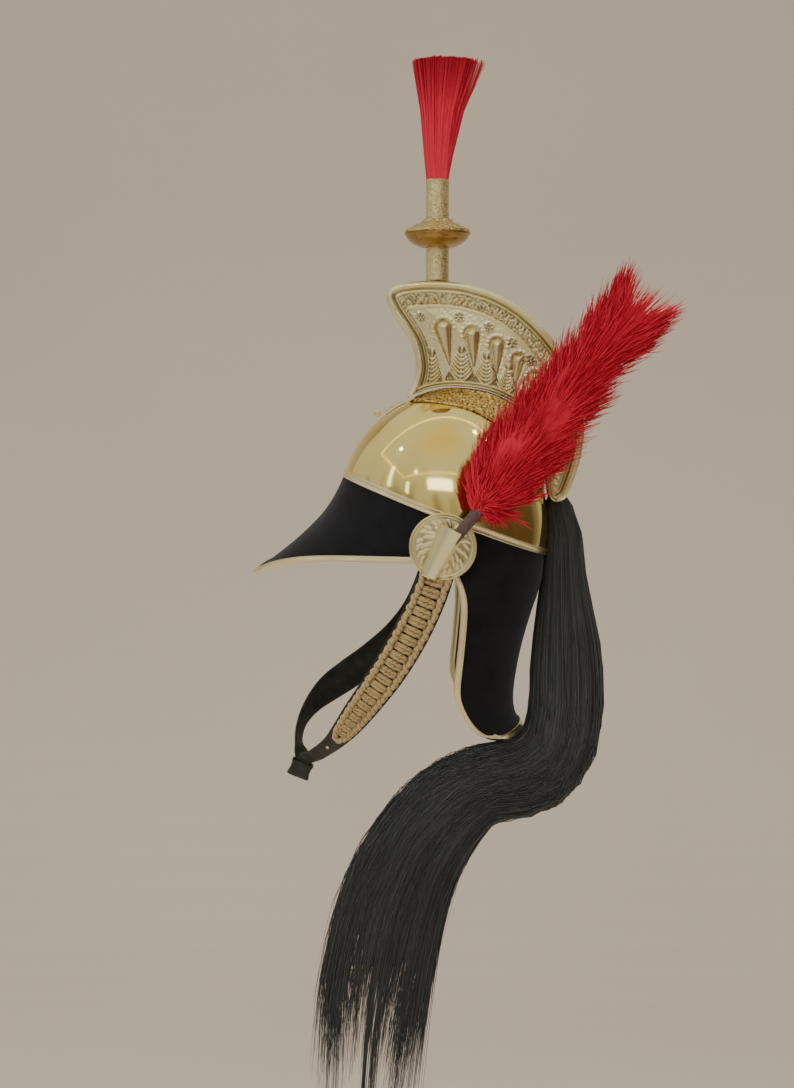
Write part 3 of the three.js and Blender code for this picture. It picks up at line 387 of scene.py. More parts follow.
# Neck guard: the same velvet over 3 mm leather, falling round the nape to a flared foot.
# Each row of the table is a bow, widest at the ears, that is wrapped round the back of the neck.
GUARD_STATIONS = 91
GUARD_TURNS = 97
GUARD_COLUMNS = ("front_y", "front_z", "back_y", "back_z", "half_width")
GUARD_ROWS = [
    (6.6, 37.6, 103.9, -1.8, 87.0), (7.6, -4.0, 102.3, -24.0, 86.0), (16.5, -28.0, 97.5, -43.0, 84.5),
    (19.6, -46.0, 92.0, -59.0, 82.5), (18.3, -74.0, 84.0, -86.0, 80.0),
    (15.4, -104.0, 78.5, -110.0, 77.5), (13.2, -132.0, 74.5, -136.0, 75.0),
    (18.6, -150.0, 74.0, -152.0, 73.5), (28.5, -166.0, 76.2, -163.0, 72.5),
    (40.0, -175.0, 79.5, -169.5, 72.0), (53.0, -179.0, 82.5, -174.0, 72.0),
]


def read_rows(rows, u):
    """The rows of a table read at shares u from 0 to 1, on a Catmull-Rom curve through all of them."""
    rows = np.asarray(rows, float)
    spot = np.clip(u, 0, 1) * (len(rows) - 1)
    i = np.minimum(spot.astype(int), len(rows) - 2)
    t = (spot - i)[..., None]
    a, b = rows[np.maximum(i - 1, 0)], rows[i]
    c, d = rows[i + 1], rows[np.minimum(i + 2, len(rows) - 1)]
    return 0.5 * (2 * b + (c - a) * t + (2 * a - 5 * b + 4 * c - d) * t ** 2
                  + (3 * b - 3 * c + d - a) * t ** 3)


guard = dict(zip(GUARD_COLUMNS, read_rows(GUARD_ROWS, np.linspace(0, 1, GUARD_STATIONS)).T[:, :, None]))
guard_turn = np.linspace(np.pi / 2, -np.pi / 2, GUARD_TURNS)[None, :]
guard_top = np.stack([
    guard["half_width"] * np.sin(guard_turn),
    guard["front_y"] + (guard["back_y"] - guard["front_y"]) * np.cos(guard_turn),
    guard["front_z"] + (guard["back_z"] - guard["front_z"]) * np.cos(guard_turn),
], -1)
guard_inside = -normals(guard_top)
leather_wall("guard", guard_top, guard_inside, ["neck_guard"])


# Edge trims: a brass strip folded over the edge of each leather wall, with a bead along its inner lip.
# The same strip goes round the peak and down and round the foot of the neck guard.
TRIM_DEPTH = 5.0
TRIM_SIDE = 2.9
TRIM_LIP = [
    (-TRIM_DEPTH, 2.1), (-TRIM_DEPTH, 2.9), (-4.5, 3.4), (-3.9, 3.5), (-3.4, 3.2), (-3.1, 2.7),
    (-1.2, 2.8),
]
TRIM_INSIDE = 2.1


def folded_trim(name, edge, outward, face, replaces):
    """A U section carried along an edge: outward points out of the wall, and face off its velvet side."""
    fold = np.linspace(np.pi / 2, -np.pi / 2, 11)
    lip = np.array(TRIM_LIP)
    bend = np.stack([0.2 + 1.5 * np.cos(fold), TRIM_SIDE * np.sin(fold)], -1)
    hollow = np.array([(0.4, -TRIM_INSIDE), (0.4, TRIM_INSIDE)])
    section = np.concatenate([lip, bend, lip[::-1] * [1, -1], hollow])
    middle = edge - face * LEATHER / 2
    loops = middle[:, None] + outward[:, None] * section[None, :, :1] + face[:, None] * section[None, :, 1:]
    put(name, loops, capped(*loops.shape[:2]), trim_brass, "trim_brass", replaces)


def unit(way):
    return way / np.linalg.norm(way, axis=-1, keepdims=True)


peak_run = slice(5, -5)
folded_trim("peak_edge", peak_top[peak_run, -1], unit(peak_top[peak_run, -1] - peak_top[peak_run, -3]),
            -peak_inside[peak_run, -1], ["peak_trim"])

GUARD_START = 8
GUARD_CORNER = 7


def guard_line(grid, inset):
    """A line down one side of the neck guard, round its foot and up the other, some columns in."""
    down = np.arange(GUARD_START, GUARD_STATIONS - GUARD_CORNER)
    across = np.arange(GUARD_CORNER, GUARD_TURNS - GUARD_CORNER)
    return np.concatenate([grid[down, inset], grid[-1 - inset, across], grid[down[::-1], -1 - inset]])


def even_out(line, passes):
    """A line of points with each inner point moved to the mean of its neighbours, some times over."""
    for _ in range(passes):
        line = np.concatenate([line[:1], (line[:-2] + 2 * line[1:-1] + line[2:]) / 4, line[-1:]])
    return line


guard_edge = guard_line(guard_top, 0)
guard_out = unit(even_out(unit(guard_edge - guard_line(guard_top, 2)), 12))
guard_face = unit(even_out(-guard_line(guard_inside, 0), 12))
folded_trim("guard_edge", even_out(guard_edge, 6), guard_out, guard_face, ["neck_guard_trim"])


# Crest plates: two stamped brass sheets that stand over the bowl, held together by the ridge strip.
# Moulding, leafy band, drops, palms and flowers are pressed up from behind, and the hollows carry painted
# shade.
CREST_OUTER = [
    (-33.5, 152.8), (-29, 160.5), (-25.2, 170), (-23.4, 184), (-27.2, 203), (-37, 220), (-47, 235),
    (-52.7, 247.5), (-51, 256.5), (-44, 261.6), (-33, 264), (-10.4, 265.5), (19.2, 263.6), (48.8, 255.7),
    (73.6, 243), (94.5, 226), (110.5, 208.5), (123.5, 190), (133, 168), (139.5, 145), (141.5, 124),
    (140, 104), (135.5, 82), (126, 56), (119.5, 50),
]
CREST_FOOT = [
    (-26.3, 154.8), (-9, 161), (12.1, 163.3), (40.7, 160.5), (61.4, 153.5), (80, 142), (93.5, 124),
    (101, 104), (105, 84), (106, 66), (108.5, 53), (113.5, 49),
]
HORN_SHARE = 7.3 / 24
PLATE_INSIDE = 11
PLATE_SPREAD = 5.5
SPREAD_DEPTH = 90
PLATE_THICK = 1.2
SIDES = (("left", 1), ("right", -1))
DROPS = [
    ((1.5, 226), (9, 184), 6.6), ((30.5, 219.5), (33, 182), 6.0), ((56, 208.5), (54.7, 174), 5.3),
    ((77.5, 193), (72.7, 164), 4.7), ((93.5, 175.5), (85.5, 150), 4.2), ((106.5, 156), (96.5, 134), 3.8),
    ((115.5, 134), (105.5, 117), 3.4), ((120, 112), (111.5, 97), 3.0),
]
PALMS = [
    ((-11, 164.5), (-8, 197), 9.5), ((19.5, 167.5), (21, 200), 10.5), ((44, 164), (45.5, 193), 9.5),
    ((63.5, 156), (67, 182), 8.5), ((80, 145.5), (84.5, 166), 7.5), ((94.5, 127.5), (99.5, 146), 6.5),
    ((102.5, 107), (108, 124), 5.5),
]
FLOWERS = [(-20, 230.5), (17.6, 231), (47, 220.5), (70, 205.5), (88, 188.5), (103, 169), (114, 146)]
PALM_LEAVES = 7
PALM_LEAF_HALF = 1.9
FAN_FOOT = (117, 58)
FAN_REACH = 44
MOULDING_WIDTH = 7.2
BORDER_WIDTH = 10.8
BAND_END = 22.2
LEAF_LINES = (13.0, 15.4, 17.8, 20.2)
LEAF_PITCH = 4.1
BEAD_PITCH = 6.4
INNER_LINE = 24.0
FOOT_BORDER = 5.4
PLATE_STEPS = 321
PLATE_DEPTHS = 131
BACK_STRIDE = 26


def run_of(line):
    """How far along a line each of its points lies."""
    return np.concatenate([[0], np.cumsum(np.linalg.norm(np.diff(line, axis=0), axis=1))])


def nearest(points, line):
    """Distance from each flat point to a dense line, and how far along the line its nearest point lies."""
    run = run_of(line)
    near, spot = [], []
    for part in np.array_split(points, 40):
        gap = np.linalg.norm(part[:, None] - line[None], axis=2)
        near.append(gap.min(1))
        spot.append(run[gap.argmin(1)])
    return np.concatenate(near), np.concatenate(spot)


def hill(distance, width):
    return np.exp(-(distance / width) ** 2)


def dome(*shares):
    """The root of 1 less the square of each share, and 0 where that is negative."""
    rest = 1
    for share in shares:
        rest = rest - share ** 2
    return np.sqrt(np.clip(rest, 0, 1))


def along_line(points, start, end):
    """Distances along and beside the line between two flat points, and its length."""
    start, way = np.array(start), np.array(end, float) - np.array(start)
    length = np.linalg.norm(way)
    way = way / length
    offset = points - start
    return offset @ way, offset @ np.array([-way[1], way[0]]), length


def crest_height(points):
    """Relief in millimetres over the bare plate, how much painted shade each hollow gets, and how granular
    the face.
    """
    line = read_rows(CREST_OUTER, np.linspace(0, 1, 900))
    split = int(HORN_SHARE * 900)
    front_gap, _ = nearest(points, line[:split])
    top_gap, run = nearest(points, line[split:])
    foot_gap, _ = nearest(points, read_rows(CREST_FOOT, np.linspace(0, 1, 500)))
    edge_gap = np.minimum(front_gap, top_gap)
    ground = 0.2 * np.sin(points[:, 0] * 3.1 + 2 * np.sin(points[:, 1] * 1.7)) * np.sin(points[:, 1] * 2.9)
    # dark is painted shade: in the sunk rims round the drops, between palm leaves and petals, between the
    # fan's flutes, round the rosette, between the band's leaves and beads, and in the grooves.
    height, dark = ground, np.zeros(len(points))

    inner = (top_gap > 24.5) & (front_gap > 12) & (foot_gap > 5.5)
    for head, tip, radius in DROPS:
        p, q, length = along_line(points, head, tip)
        for swell, lift, shade in ((2.4, -1.0, 0.45), (0.0, radius * 0.6 + 1.2, 0.0)):
            width = radius + swell
            reach = length + swell
            bulb = np.sqrt(np.maximum(width ** 2 - (p - radius) ** 2, 0))
            shank = width * np.clip(1 - (p - radius) / (reach - radius), 0, 1) ** 0.9
            half = np.where(p < radius, bulb, shank)
            inside = np.clip(1 - (q / np.maximum(half, 0.01)) ** 2, 0, 1) * (half > 0.15) * inner
            if lift < 0:
                sunk = np.minimum(1, inside * 3)
                height = height + lift * sunk
                dark = np.maximum(dark, shade * sunk)
            else:
                shape = np.sqrt(inside) * lift * (0.25 + 0.75 * half / radius)
                dark = np.where(inside > 0.05, 0.0, dark)
                height = np.where(inside > 0, np.maximum(height, shape), height)
        angles = np.radians(np.arange(-100, 101, 25))
        centre = np.array(head) + radius * unit(np.array(tip, float) - np.array(head))
        up = unit(np.array(head, float) - np.array(tip))
        right = np.array([-up[1], up[0]])
        beads = centre + (radius + 4.2) * (np.cos(angles)[:, None] * up + np.sin(angles)[:, None] * right)
        gap = np.linalg.norm(points[:, None] - beads[None], axis=2).min(1)
        height = height + 0.9 * hill(gap, 0.95) * inner

    for foot, head, width in PALMS:
        p, q, length = along_line(points, foot, head)
        side, share = np.abs(q), p / length
        leaf = dome((share - 0.97) / 0.13, q / 1.5)
        for k in range(PALM_LEAVES):
            reach = width * (1.3 - 0.1 * k)
            way_out = np.clip(side / reach, 0, 1)
            half = PALM_LEAF_HALF * np.clip(4 * way_out * (1 - way_out), 0.0001, 1) ** 0.45
            centre = length * (0.02 + 0.125 * k) + 0.25 * side + 0.85 * side * way_out
            leaf = np.maximum(leaf, dome((p - centre) / half) * (side < reach))
        leaf = np.maximum(leaf, 0.8 * hill(q, 0.8) * (share < 0.9)) * inner
        crown = (side < width * (1.4 - 1.2 * share) + 0.8) * (share > -0.04) * (share < 1.06) * inner
        height = np.where(crown, 2.1 * leaf - 0.6, height)
        dark = np.where(crown, np.clip(0.8 - 1.3 * leaf, 0, 0.7), dark)

    for middle in FLOWERS:
        offset = points - np.array(middle)
        radius = np.linalg.norm(offset, axis=1)
        petals = 0.5 + 0.5 * np.cos(6 * np.arctan2(offset[:, 1], offset[:, 0]))
        disc = (radius < 5.0) * inner
        flower = 1.1 * petals * hill(radius - 2.7, 1.3) + hill(radius, 0.9) + 0.8 * hill(radius - 4.6, 0.5)
        height = np.where(disc > 0, flower - 0.3, height)
        dark = np.where(disc > 0, np.clip(0.95 - flower, 0, 1), dark)

    offset = points - np.array(FAN_FOOT)
    radius = np.linalg.norm(offset, axis=1)
    bearing = np.arctan2(offset[:, 0], offset[:, 1])
    fan = (radius > 7) * (radius < FAN_REACH) * inner * (points[:, 1] > FAN_FOOT[1])
    flute = np.abs(np.cos(bearing * 17))
    scales = np.abs(np.sin(radius * 0.75)) * (radius > 27)
    height = np.where(fan > 0, 1.2 * flute * (1 - 0.5 * scales), height)
    dark = np.where(fan > 0, np.clip(0.85 - flute, 0, 1) + 0.5 * scales * (flute > 0.4), dark)
    disc = radius < 6
    rosette = 1.0 + 0.8 * np.cos(5 * bearing) ** 2 * hill(radius - 3, 1.6) + hill(radius, 1.2)
    height = np.where(disc, rosette, height)
    dark = np.where(disc, np.clip(1.9 - height, 0, 0.7), dark)

    moulding = 3.3 * dome((edge_gap - 3.2) / 3.7)
    border = np.where(edge_gap < MOULDING_WIDTH, moulding, 0)
    lines = hill(edge_gap - 9.3, 0.65) - 0.5 * hill(edge_gap - 7.7, 0.6)
    front_line = 0.8 * hill(front_gap - 11.6, 0.6)
    band = (top_gap > BORDER_WIDTH) & (top_gap < BAND_END) & (front_gap > 10.5)
    bead_share = np.clip((run - 190) / 60, 0, 1)
    rows_of_leaves = np.zeros(len(points))
    for k, row in enumerate(LEAF_LINES):
        cell = (run / LEAF_PITCH + 0.5 * (k % 2)) % 1 - 0.5
        size = (cell / 0.52) ** 2 + ((top_gap - row - 1.2 * cell) / 1.45) ** 2
        rows_of_leaves = np.maximum(rows_of_leaves, np.sqrt(np.clip(1 - size, 0, 1)))
    cell = (run / BEAD_PITCH) % 1 - 0.5
    beads = dome(cell * BEAD_PITCH / 2.9, (top_gap - 16.4) / 3.1)
    swell = dome((top_gap - 16.5) / 6.2)
    in_band = 0.5 + swell + 1.1 * rows_of_leaves * (1 - bead_share) + 2.0 * beads * bead_share
    crevice_shade = 1 - np.maximum(rows_of_leaves * (1 - bead_share), beads * bead_share)
    height = np.where(band, in_band, height)
    dark = np.where(band, np.clip(crevice_shade * 0.7 - 0.3, 0, 0.4), dark)
    height = height + 1.2 * hill(top_gap - INNER_LINE, 0.75) * (front_gap > 10)

    near_edge = edge_gap < BORDER_WIDTH
    height = np.where(near_edge, border + lines, height) + front_line * (top_gap > 22)
    groove = np.maximum(hill(edge_gap - 7.7, 0.75), 0.8 * hill(edge_gap - 10.7, 0.55))
    groove = np.maximum(groove, 0.8 * hill(front_gap - 13.2, 0.6) * (top_gap > 24))
    dark = np.where(near_edge, 0, dark)
    dark = np.maximum(dark, 0.9 * groove * (foot_gap > 1.5))
    foot_zone = foot_gap < FOOT_BORDER
    foot_lines = 1.5 * hill(foot_gap - 1.2, 0.8) + 1.5 * hill(foot_gap - 4.1, 0.75)
    height = np.where(foot_zone & (edge_gap > 5), foot_lines, height)
    dark = np.where(foot_zone & (edge_gap > 5), 0.9 * hill(foot_gap - 2.65, 0.55), dark)
    # Where the painted shade is deep, the face is granular too, with more painted shade between its beads.
    grain = np.where(band, 1 - bead_share, 0) + 0.35 * (dark > 0.1) * inner
    return height, np.clip(dark, 0, 1), np.clip(grain, 0, 1)


def plate_spread(points):
    """The plates part by 5.5 mm over the first 90 mm below the outer line."""
    gap, _ = nearest(points, read_rows(CREST_OUTER, np.linspace(0, 1, 400)))
    return PLATE_INSIDE + PLATE_SPREAD * np.minimum(1, gap / SPREAD_DEPTH)


def crest_plates():
    """Two mirrored plates: a fine relief sheet in front, a coarse bare sheet behind, joined all round."""
    share = np.linspace(0, 1, PLATE_STEPS)
    depth = np.linspace(0, 1, PLATE_DEPTHS)[None, :, None]
    outer, foot = read_rows(CREST_OUTER, share)[:, None], read_rows(CREST_FOOT, share)[:, None]
    flat = outer * (1 - depth) + foot * depth
    rows, columns = flat.shape[:2]
    height, dark, grain = crest_height(flat.reshape(-1, 2))
    front_x = plate_spread(flat.reshape(-1, 2)) + PLATE_THICK + height
    front = np.concatenate([front_x[:, None], flat.reshape(-1, 2)], 1).reshape(rows, columns, 3)
    coarse = flat[:, ::BACK_STRIDE]
    back_x = plate_spread(coarse.reshape(-1, 2))
    back = np.concatenate([back_x[:, None], coarse.reshape(-1, 2)], 1).reshape(rows, -1, 3)
    # marks is the painted shade of each point; the bare back sheet, which faces into the crest, gets an even
    # 0.3.
    marks = np.concatenate([dark.reshape(rows, columns), np.full((rows, back.shape[1]), 0.3)], 1)
    grain = np.concatenate([grain.reshape(rows, columns), np.zeros((rows, back.shape[1]))], 1)
    points, faces = wall(front, back)
    for name, side in SIDES:
        put("crest_plate_relief_" + name, points * [side, 1, 1], faces, crest_brass, "crest_brass",
            ["crest_plate_" + name], {"hollow": marks.ravel(), "grain": grain.ravel()})


# tint(92, 74, 44) is the painted shade tone of the crest's hollows and bead gaps.
crest_brass = brass("crest_brass", tint(255, 250, 202), tint(246, 232, 176), 0.28, 0.15,
                    tint(92, 74, 44), 0.4)
crest_plates()


# Ridge: a crowned brass strip with three beads that closes the crest between its plates.
# It follows the front, the top and the rear of the outline.
def carried(line, section):
    """A flat section, as x and inset, carried along a line of y and z in the middle plane."""
    way = unit(np.gradient(line, axis=0))
    inward = np.stack([way[:, 1], -way[:, 0]], -1)
    y_z = line[:, None] + inward[:, None] * section[None, :, 1:]
    x = np.broadcast_to(section[None, :, :1], (*y_z.shape[:2], 1))
    loops = np.concatenate([x, y_z], -1)
    return loops, capped(*loops.shape[:2])


RIDGE_HALF = 10.7
RIDGE_DEPTH = 2.4
ridge_x = np.linspace(-RIDGE_HALF, RIDGE_HALF, 41)
ridge_beads = hill(ridge_x, 1.6) + hill(np.abs(ridge_x) - 8.2, 1.1)
ridge_rise = 0.6 - 1.1 * ridge_beads - 0.5 * np.cos(ridge_x / RIDGE_HALF * np.pi / 2)
ridge_back = [(RIDGE_HALF, RIDGE_DEPTH), (-RIDGE_HALF, RIDGE_DEPTH)]
ridge_section = np.concatenate([np.stack([ridge_x, ridge_rise], -1), ridge_back])
put("ridge_strip", *carried(read_rows(CREST_OUTER, np.linspace(0, 1, 181)), ridge_section),
    crest_brass, "crest_brass", ["crest_ridge"])


# Skirts: two flared bands, stamped with a gilt grain, that carry the crest on the bowl.
# Each one runs from the foot of its plate down to a rolled lip on the dome.
SKIRT_ROWS = [
    (-25, 152.4, 21), (-9, 158.4, 31), (12, 161.6, 37), (41, 158.8, 38), (61, 151.8, 37), (79, 140.5, 34),
    (92, 123, 30), (99.4, 104, 27), (103.4, 84, 24),
]


def bowl_beside(x, y, offset):
    """The bowl's surface at a given x and y, by halving the rise forty times towards that y."""
    def at(rise, rear):
        width = np.maximum(np.cos(rise * np.pi / 2), 1e-6) ** (2 / BOWL_FULLNESS) * (BOWL_HALF_WIDTH + offset)
        turn = np.arcsin(np.clip(x / width, 0, 1))
        return bowl_point(np.where(rear, np.pi - turn, turn), rise, offset)
    half = (np.clip(x / (BOWL_HALF_WIDTH + offset), 0, 1)) ** (BOWL_FULLNESS / 2)
    top = np.arccos(half) * 2 / np.pi
    rear = at(top * 0.9999, False)[..., 1] < y
    low, high = np.zeros_like(x), top * 0.9999
    for _ in range(40):
        middle = (low + high) / 2
        there = at(middle, rear)[..., 1]
        outside = np.where(rear, there > y, there < y)
        low, high = np.where(outside, middle, low), np.where(outside, high, middle)
    return at(low, rear)


def gilt_material():
    """Gilt brass stamped with a coarse grain: broken cells, with painted highlights on the bright tops and
    painted shade in the brown hollows.
    """
    material, tree, shader = graph("skirt_gilt")
    place = place_in(tree)
    grain = noise(tree, place, 420, 3, 0.6)
    # The tone follows the bump's noise: painted shade where it is low, painted highlight where it is high.
    tone = ramp(tree, grain, (0.36, tint(116, 90, 44)), (0.5, tint(224, 190, 112)),
                (0.64, tint(255, 246, 190)))
    lump = bump(tree, grain, 0.9, 0.0012)
    feed(tree, shader, Base_Color=tone, Metallic=1.0, Roughness=level(tree, grain, 0.42, 0.24), Normal=lump)
    return material


skirt_gilt = gilt_material()
skirt = read_rows(SKIRT_ROWS, np.linspace(0, 1, 101))
skirt_top_x = plate_spread(skirt[:, :2]) - 0.5
skirt_start = np.stack([skirt_top_x, skirt[:, 0], skirt[:, 1]], -1)[:, None]
skirt_end = bowl_beside(skirt[:, 2], skirt[:, 0] - 2, 1.4)[:, None]
t = np.linspace(0, 1, 25)[None, :, None]
lift = 0.9 * np.sin(np.pi * t) + hill(t - 0.95, 0.03) + 0.7 * hill(t - 0.06, 0.05)
skirt_top = skirt_start * (1 - t) + skirt_end * t + lift * np.array([0.707, 0, 0.707])
skirt_under = skirt_start * (1 - t) + skirt_end * t - 0.8 * np.array([0.3, 0, 0.95])
for name, side in SIDES:
    put("crest_skirt_" + name, *wall(skirt_top * [side, 1, 1], skirt_under * [side, 1, 1]),
        skirt_gilt, "crest_brass", ["crest_base_" + name])


# Plume tube and collar: a brass tube on top of the crest wrapped in crinkled gilt foil, and a stepped disc.
# Both are turned forms on one axis.
TUBE_AXIS_Y = -3.2
TUBE_FOOT = 266.2
TUBE_HEIGHT = 98.6
DISC_MIDDLE = 313.3


def turned(name, profile, material, slot, replaces, middle, sides, ripple):
    """A closed profile of radius and height turned about a vertical axis, with a seeded ripple."""
    radius, height = np.asarray(profile, float).T
    turn = circle(sides)[None, :]
    outside = (radius > radius.min() + 0.1)[:, None]
    r = radius[:, None] + np.random.default_rng(5).normal(0, 1, (len(radius), sides)) * ripple * outside
    points = np.stack([r * np.cos(turn), r * np.sin(turn), height[:, None] + 0 * turn], -1) + np.array(middle)
    return put(name, points, quads(len(radius), sides, True, True), material, slot, replaces)


def foil_material(name, low, high, scale, strength):
    """Crinkled gilt foil: folded facets that each catch the light, with painted highlights on the raised
    creases and painted olive-brown shade in the low ones.
    """
    material, tree, shader = graph(name)
    place = place_in(tree, (1, 1, 1.6))
    fold = node(tree, "TexVoronoi", Vector=place, Scale=scale).outputs[0]
    crease = noise(tree, place, scale * 0.8, 3, 0.7)
    # The tone follows the crease noise that the bump uses: painted shade low, painted highlight high.
    tone = ramp(tree, crease, (0.3, low), (0.62, high))
    normal = bump(tree, fold, strength, 0.001, bump(tree, crease, strength, 0.0014))
    feed(tree, shader, Base_Color=tone, Metallic=1.0, Roughness=0.26, Normal=normal)
    return material


tube_foil = foil_material("tube_foil", tint(214, 190, 104), tint(255, 252, 206), 520, 0.6)
collar_foil = foil_material("collar_gilt", tint(176, 146, 74), tint(255, 242, 180), 420, 0.7)
collar_brass = brass("collar_brass", tint(190, 158, 98), tint(150, 120, 70), 0.24, 0.2)
tube_height = np.linspace(0, TUBE_HEIGHT, 80)
tube_radius = 11.25 + 0.25 * hill(tube_height - 1.5, 1.0) + 0.3 * hill(tube_height - TUBE_HEIGHT + 1.5, 1.2)
tube_profile = np.concatenate([np.stack([tube_radius, tube_height], -1), [(10.3, TUBE_HEIGHT), (10.3, 0)]])
tube_middle = (0, TUBE_AXIS_Y, TUBE_FOOT)
turned("tube_foil_wrap", tube_profile, tube_foil, "bowl_brass", ["plume_tube"], tube_middle, 96, 0.1)
COLLAR_UNDER = [
    (11.8, -14.5), (15, -14.3), (19, -13), (23.5, -10.8), (27.5, -7.8), (30.2, -4.6), (31.4, -2.2),
    (32.3, -1.6), (32.6, -0.6), (32.2, 0.2), (11.8, 0.2),
]
COLLAR_UPPER = [
    (11.8, 0.3), (32.0, 0.3), (32.4, 1.0), (31.9, 1.7), (32.0, 2.5), (31.5, 3.2), (30.4, 3.8),
    (28.5, 4.3), (27.2, 5.6), (26.0, 6.0), (23.5, 6.6), (22.4, 7.9), (20.6, 8.4), (18.0, 8.9),
    (16.6, 10.3), (15.2, 10.8), (14.6, 12.0), (14.2, 13.2), (13.2, 13.6), (11.8, 13.6),
]
collar_middle = (0, TUBE_AXIS_Y, DISC_MIDDLE)
turned("collar_bowl", COLLAR_UNDER, collar_brass, "bowl_brass", ["plume_disc"], collar_middle, 128, 0.03)
turned("collar_top", COLLAR_UPPER, collar_foil, "bowl_brass", (), collar_middle, 128, 0.12)


# Brush: a bundle of straight red hair held in the tube, which fans out and leans back at its cut top.
# Every hair is a fine tapered blade, round a solid core that keeps the bundle dense.
BRUSH_ROWS = [
    (0, 353, 9.4, 9.4), (0, 364.8, 9.8, 9.8), (0.2, 378, 11.2, 11.6), (1.5, 410, 13.2, 14.6),
    (3.5, 445, 16.0, 19.5), (6.5, 484, 19.0, 27.5),
]


def hair_material(name, dark, light, gloss):
    """Hair or feather: tone varies from strand to strand with the mark named strand, and shines along it."""
    material, tree, shader = graph(name)
    strand = mark(tree, "strand")
    fleck = noise(tree, place_in(tree), 300, 3)
    flecks = ramp(tree, fleck, (0.3, dark), (0.7, light))
    tone = blend(tree, 0.25, ramp(tree, strand, (0.0, dark), (1.0, light)), flecks)
    feed(tree, shader, Base_Color=tone, Roughness=gloss, Specular_IOR_Level=0.35)
    feed(tree, shader, Sheen_Weight=0.3, Sheen_Roughness=0.4, Sheen_Tint=(*light, 1))
    return material


BLADE_SIDES = 3


def blades(paths, radius, sides=BLADE_SIDES):
    """Points and faces of many closed tapered blades, one for each path of points.

    Round each path goes a small polygon, square to its direction, whose size follows the radius array.
    """
    way = unit(np.gradient(paths, axis=1))
    first = unit(np.cross(way, np.array([0.31, 0.24, 0.92])))
    second = np.cross(way, first)
    count, steps = paths.shape[:2]
    turn = circle(sides)
    ring = first[:, :, None] * np.cos(turn)[:, None] + second[:, :, None] * np.sin(turn)[:, None]
    points = paths[:, :, None] + radius[:, :, None, None] * ring
    start = (np.arange(count) * steps * sides)[:, None, None]
    body = quads(steps, sides, wrap_columns=True)[None] + start
    caps = np.stack([np.arange(sides)[::-1], np.arange(sides) + (steps - 1) * sides])[None] + start
    return points.reshape(-1, 3), [body.reshape(-1, 4), caps.reshape(-1, sides)]


red_hair = hair_material("red_hair", tint(206, 34, 62), tint(242, 58, 84), 0.5)
rng = np.random.default_rng(11)
HAIRS = 1600
WISPS = 90
HAIR_STEPS = 5
OUTER_SHARE = 0.7
CORE_STEPS = 25
CORE_SIDES = 64
wisp = np.arange(HAIRS) < WISPS
hair_turn = np.where(wisp, rng.normal(np.pi / 2, 0.5, HAIRS), rng.uniform(0, 2 * np.pi, HAIRS))
outer = rng.uniform(0, 1, HAIRS) < OUTER_SHARE
hair_ring = np.where(outer, rng.uniform(0.97, 1.04, HAIRS), rng.uniform(0.2, 0.97, HAIRS))
hair_length = rng.uniform(0.97, 1.0, HAIRS)
steps = np.linspace(0, 1, HAIR_STEPS)[None, :]
brush = read_rows(BRUSH_ROWS, hair_length[:, None] * steps)
splay = hair_ring[:, None] * (1 + 0.05 * rng.normal(0, 1, HAIRS)[:, None] * steps ** 2)
bend = rng.normal(0, 1.0, (HAIRS, 1)) * steps ** 2
rearward = np.where(wisp, rng.uniform(1, 13, HAIRS), 0)[:, None] * steps ** 3
hair_paths = np.stack([
    brush[..., 2] * splay * np.cos(hair_turn)[:, None] + bend,
    TUBE_AXIS_Y + brush[..., 0] + brush[..., 3] * splay * np.sin(hair_turn)[:, None] - bend * 0.7 + rearward,
    brush[..., 1] - 3.5 * (hair_ring[:, None] * steps) ** 2,
], -1)
hair_radius = 0.78 * (1 - 0.4 * steps ** 2) * np.where(wisp, 0.55, 1)[:, None]
hair_points, hair_faces = blades(hair_paths, hair_radius)
hair_tone = np.repeat(rng.uniform(0, 1, HAIRS), HAIR_STEPS * BLADE_SIDES)
put("brush_hair", hair_points, hair_faces, red_hair, "red_hair", ["crest_brush"], {"strand": hair_tone})
core = read_rows(BRUSH_ROWS, np.linspace(0, 0.985, CORE_STEPS))
turn = circle(CORE_SIDES)[None, :]
core_ends = np.concatenate([[0.05], np.ones(CORE_STEPS - 3), [0.93, 0.05]])[:, None]
core_size = 0.97 * (1 + 0.012 * np.sin(turn * 21)) * core_ends
core_points = np.stack([
    core[:, 2:3] * core_size * np.cos(turn),
    TUBE_AXIS_Y + core[:, :1] + core[:, 3:] * core_size * np.sin(turn),
    core[:, 1:2] - 3 * core_size ** 2 * np.linspace(0, 1, CORE_STEPS)[:, None] + 0 * turn,
], -1)
put("brush_core", core_points, capped(CORE_STEPS, CORE_SIDES), red_hair, "red_hair", (),
    {"strand": np.full(CORE_STEPS * CORE_SIDES, 0.45)})


# Ear bosses: brass discs with a double rim and three rings of raised leaves, over the strap's ends.
# The left one carries the plume holder.
ROSETTE_X = 98
ROSETTE_MIDDLE = (0.3, 11.8)
ROSETTE_RADIUS = 32
BOSS_SIDES = 200
LEAF_RINGS = [(7, 9, 10.0, 1.7, 0.5), (13, 15, 9.0, 1.6, 0.7), (19.5, 21, 8.0, 1.5, 0.8)]
HOLDER_BEARING = 1.1


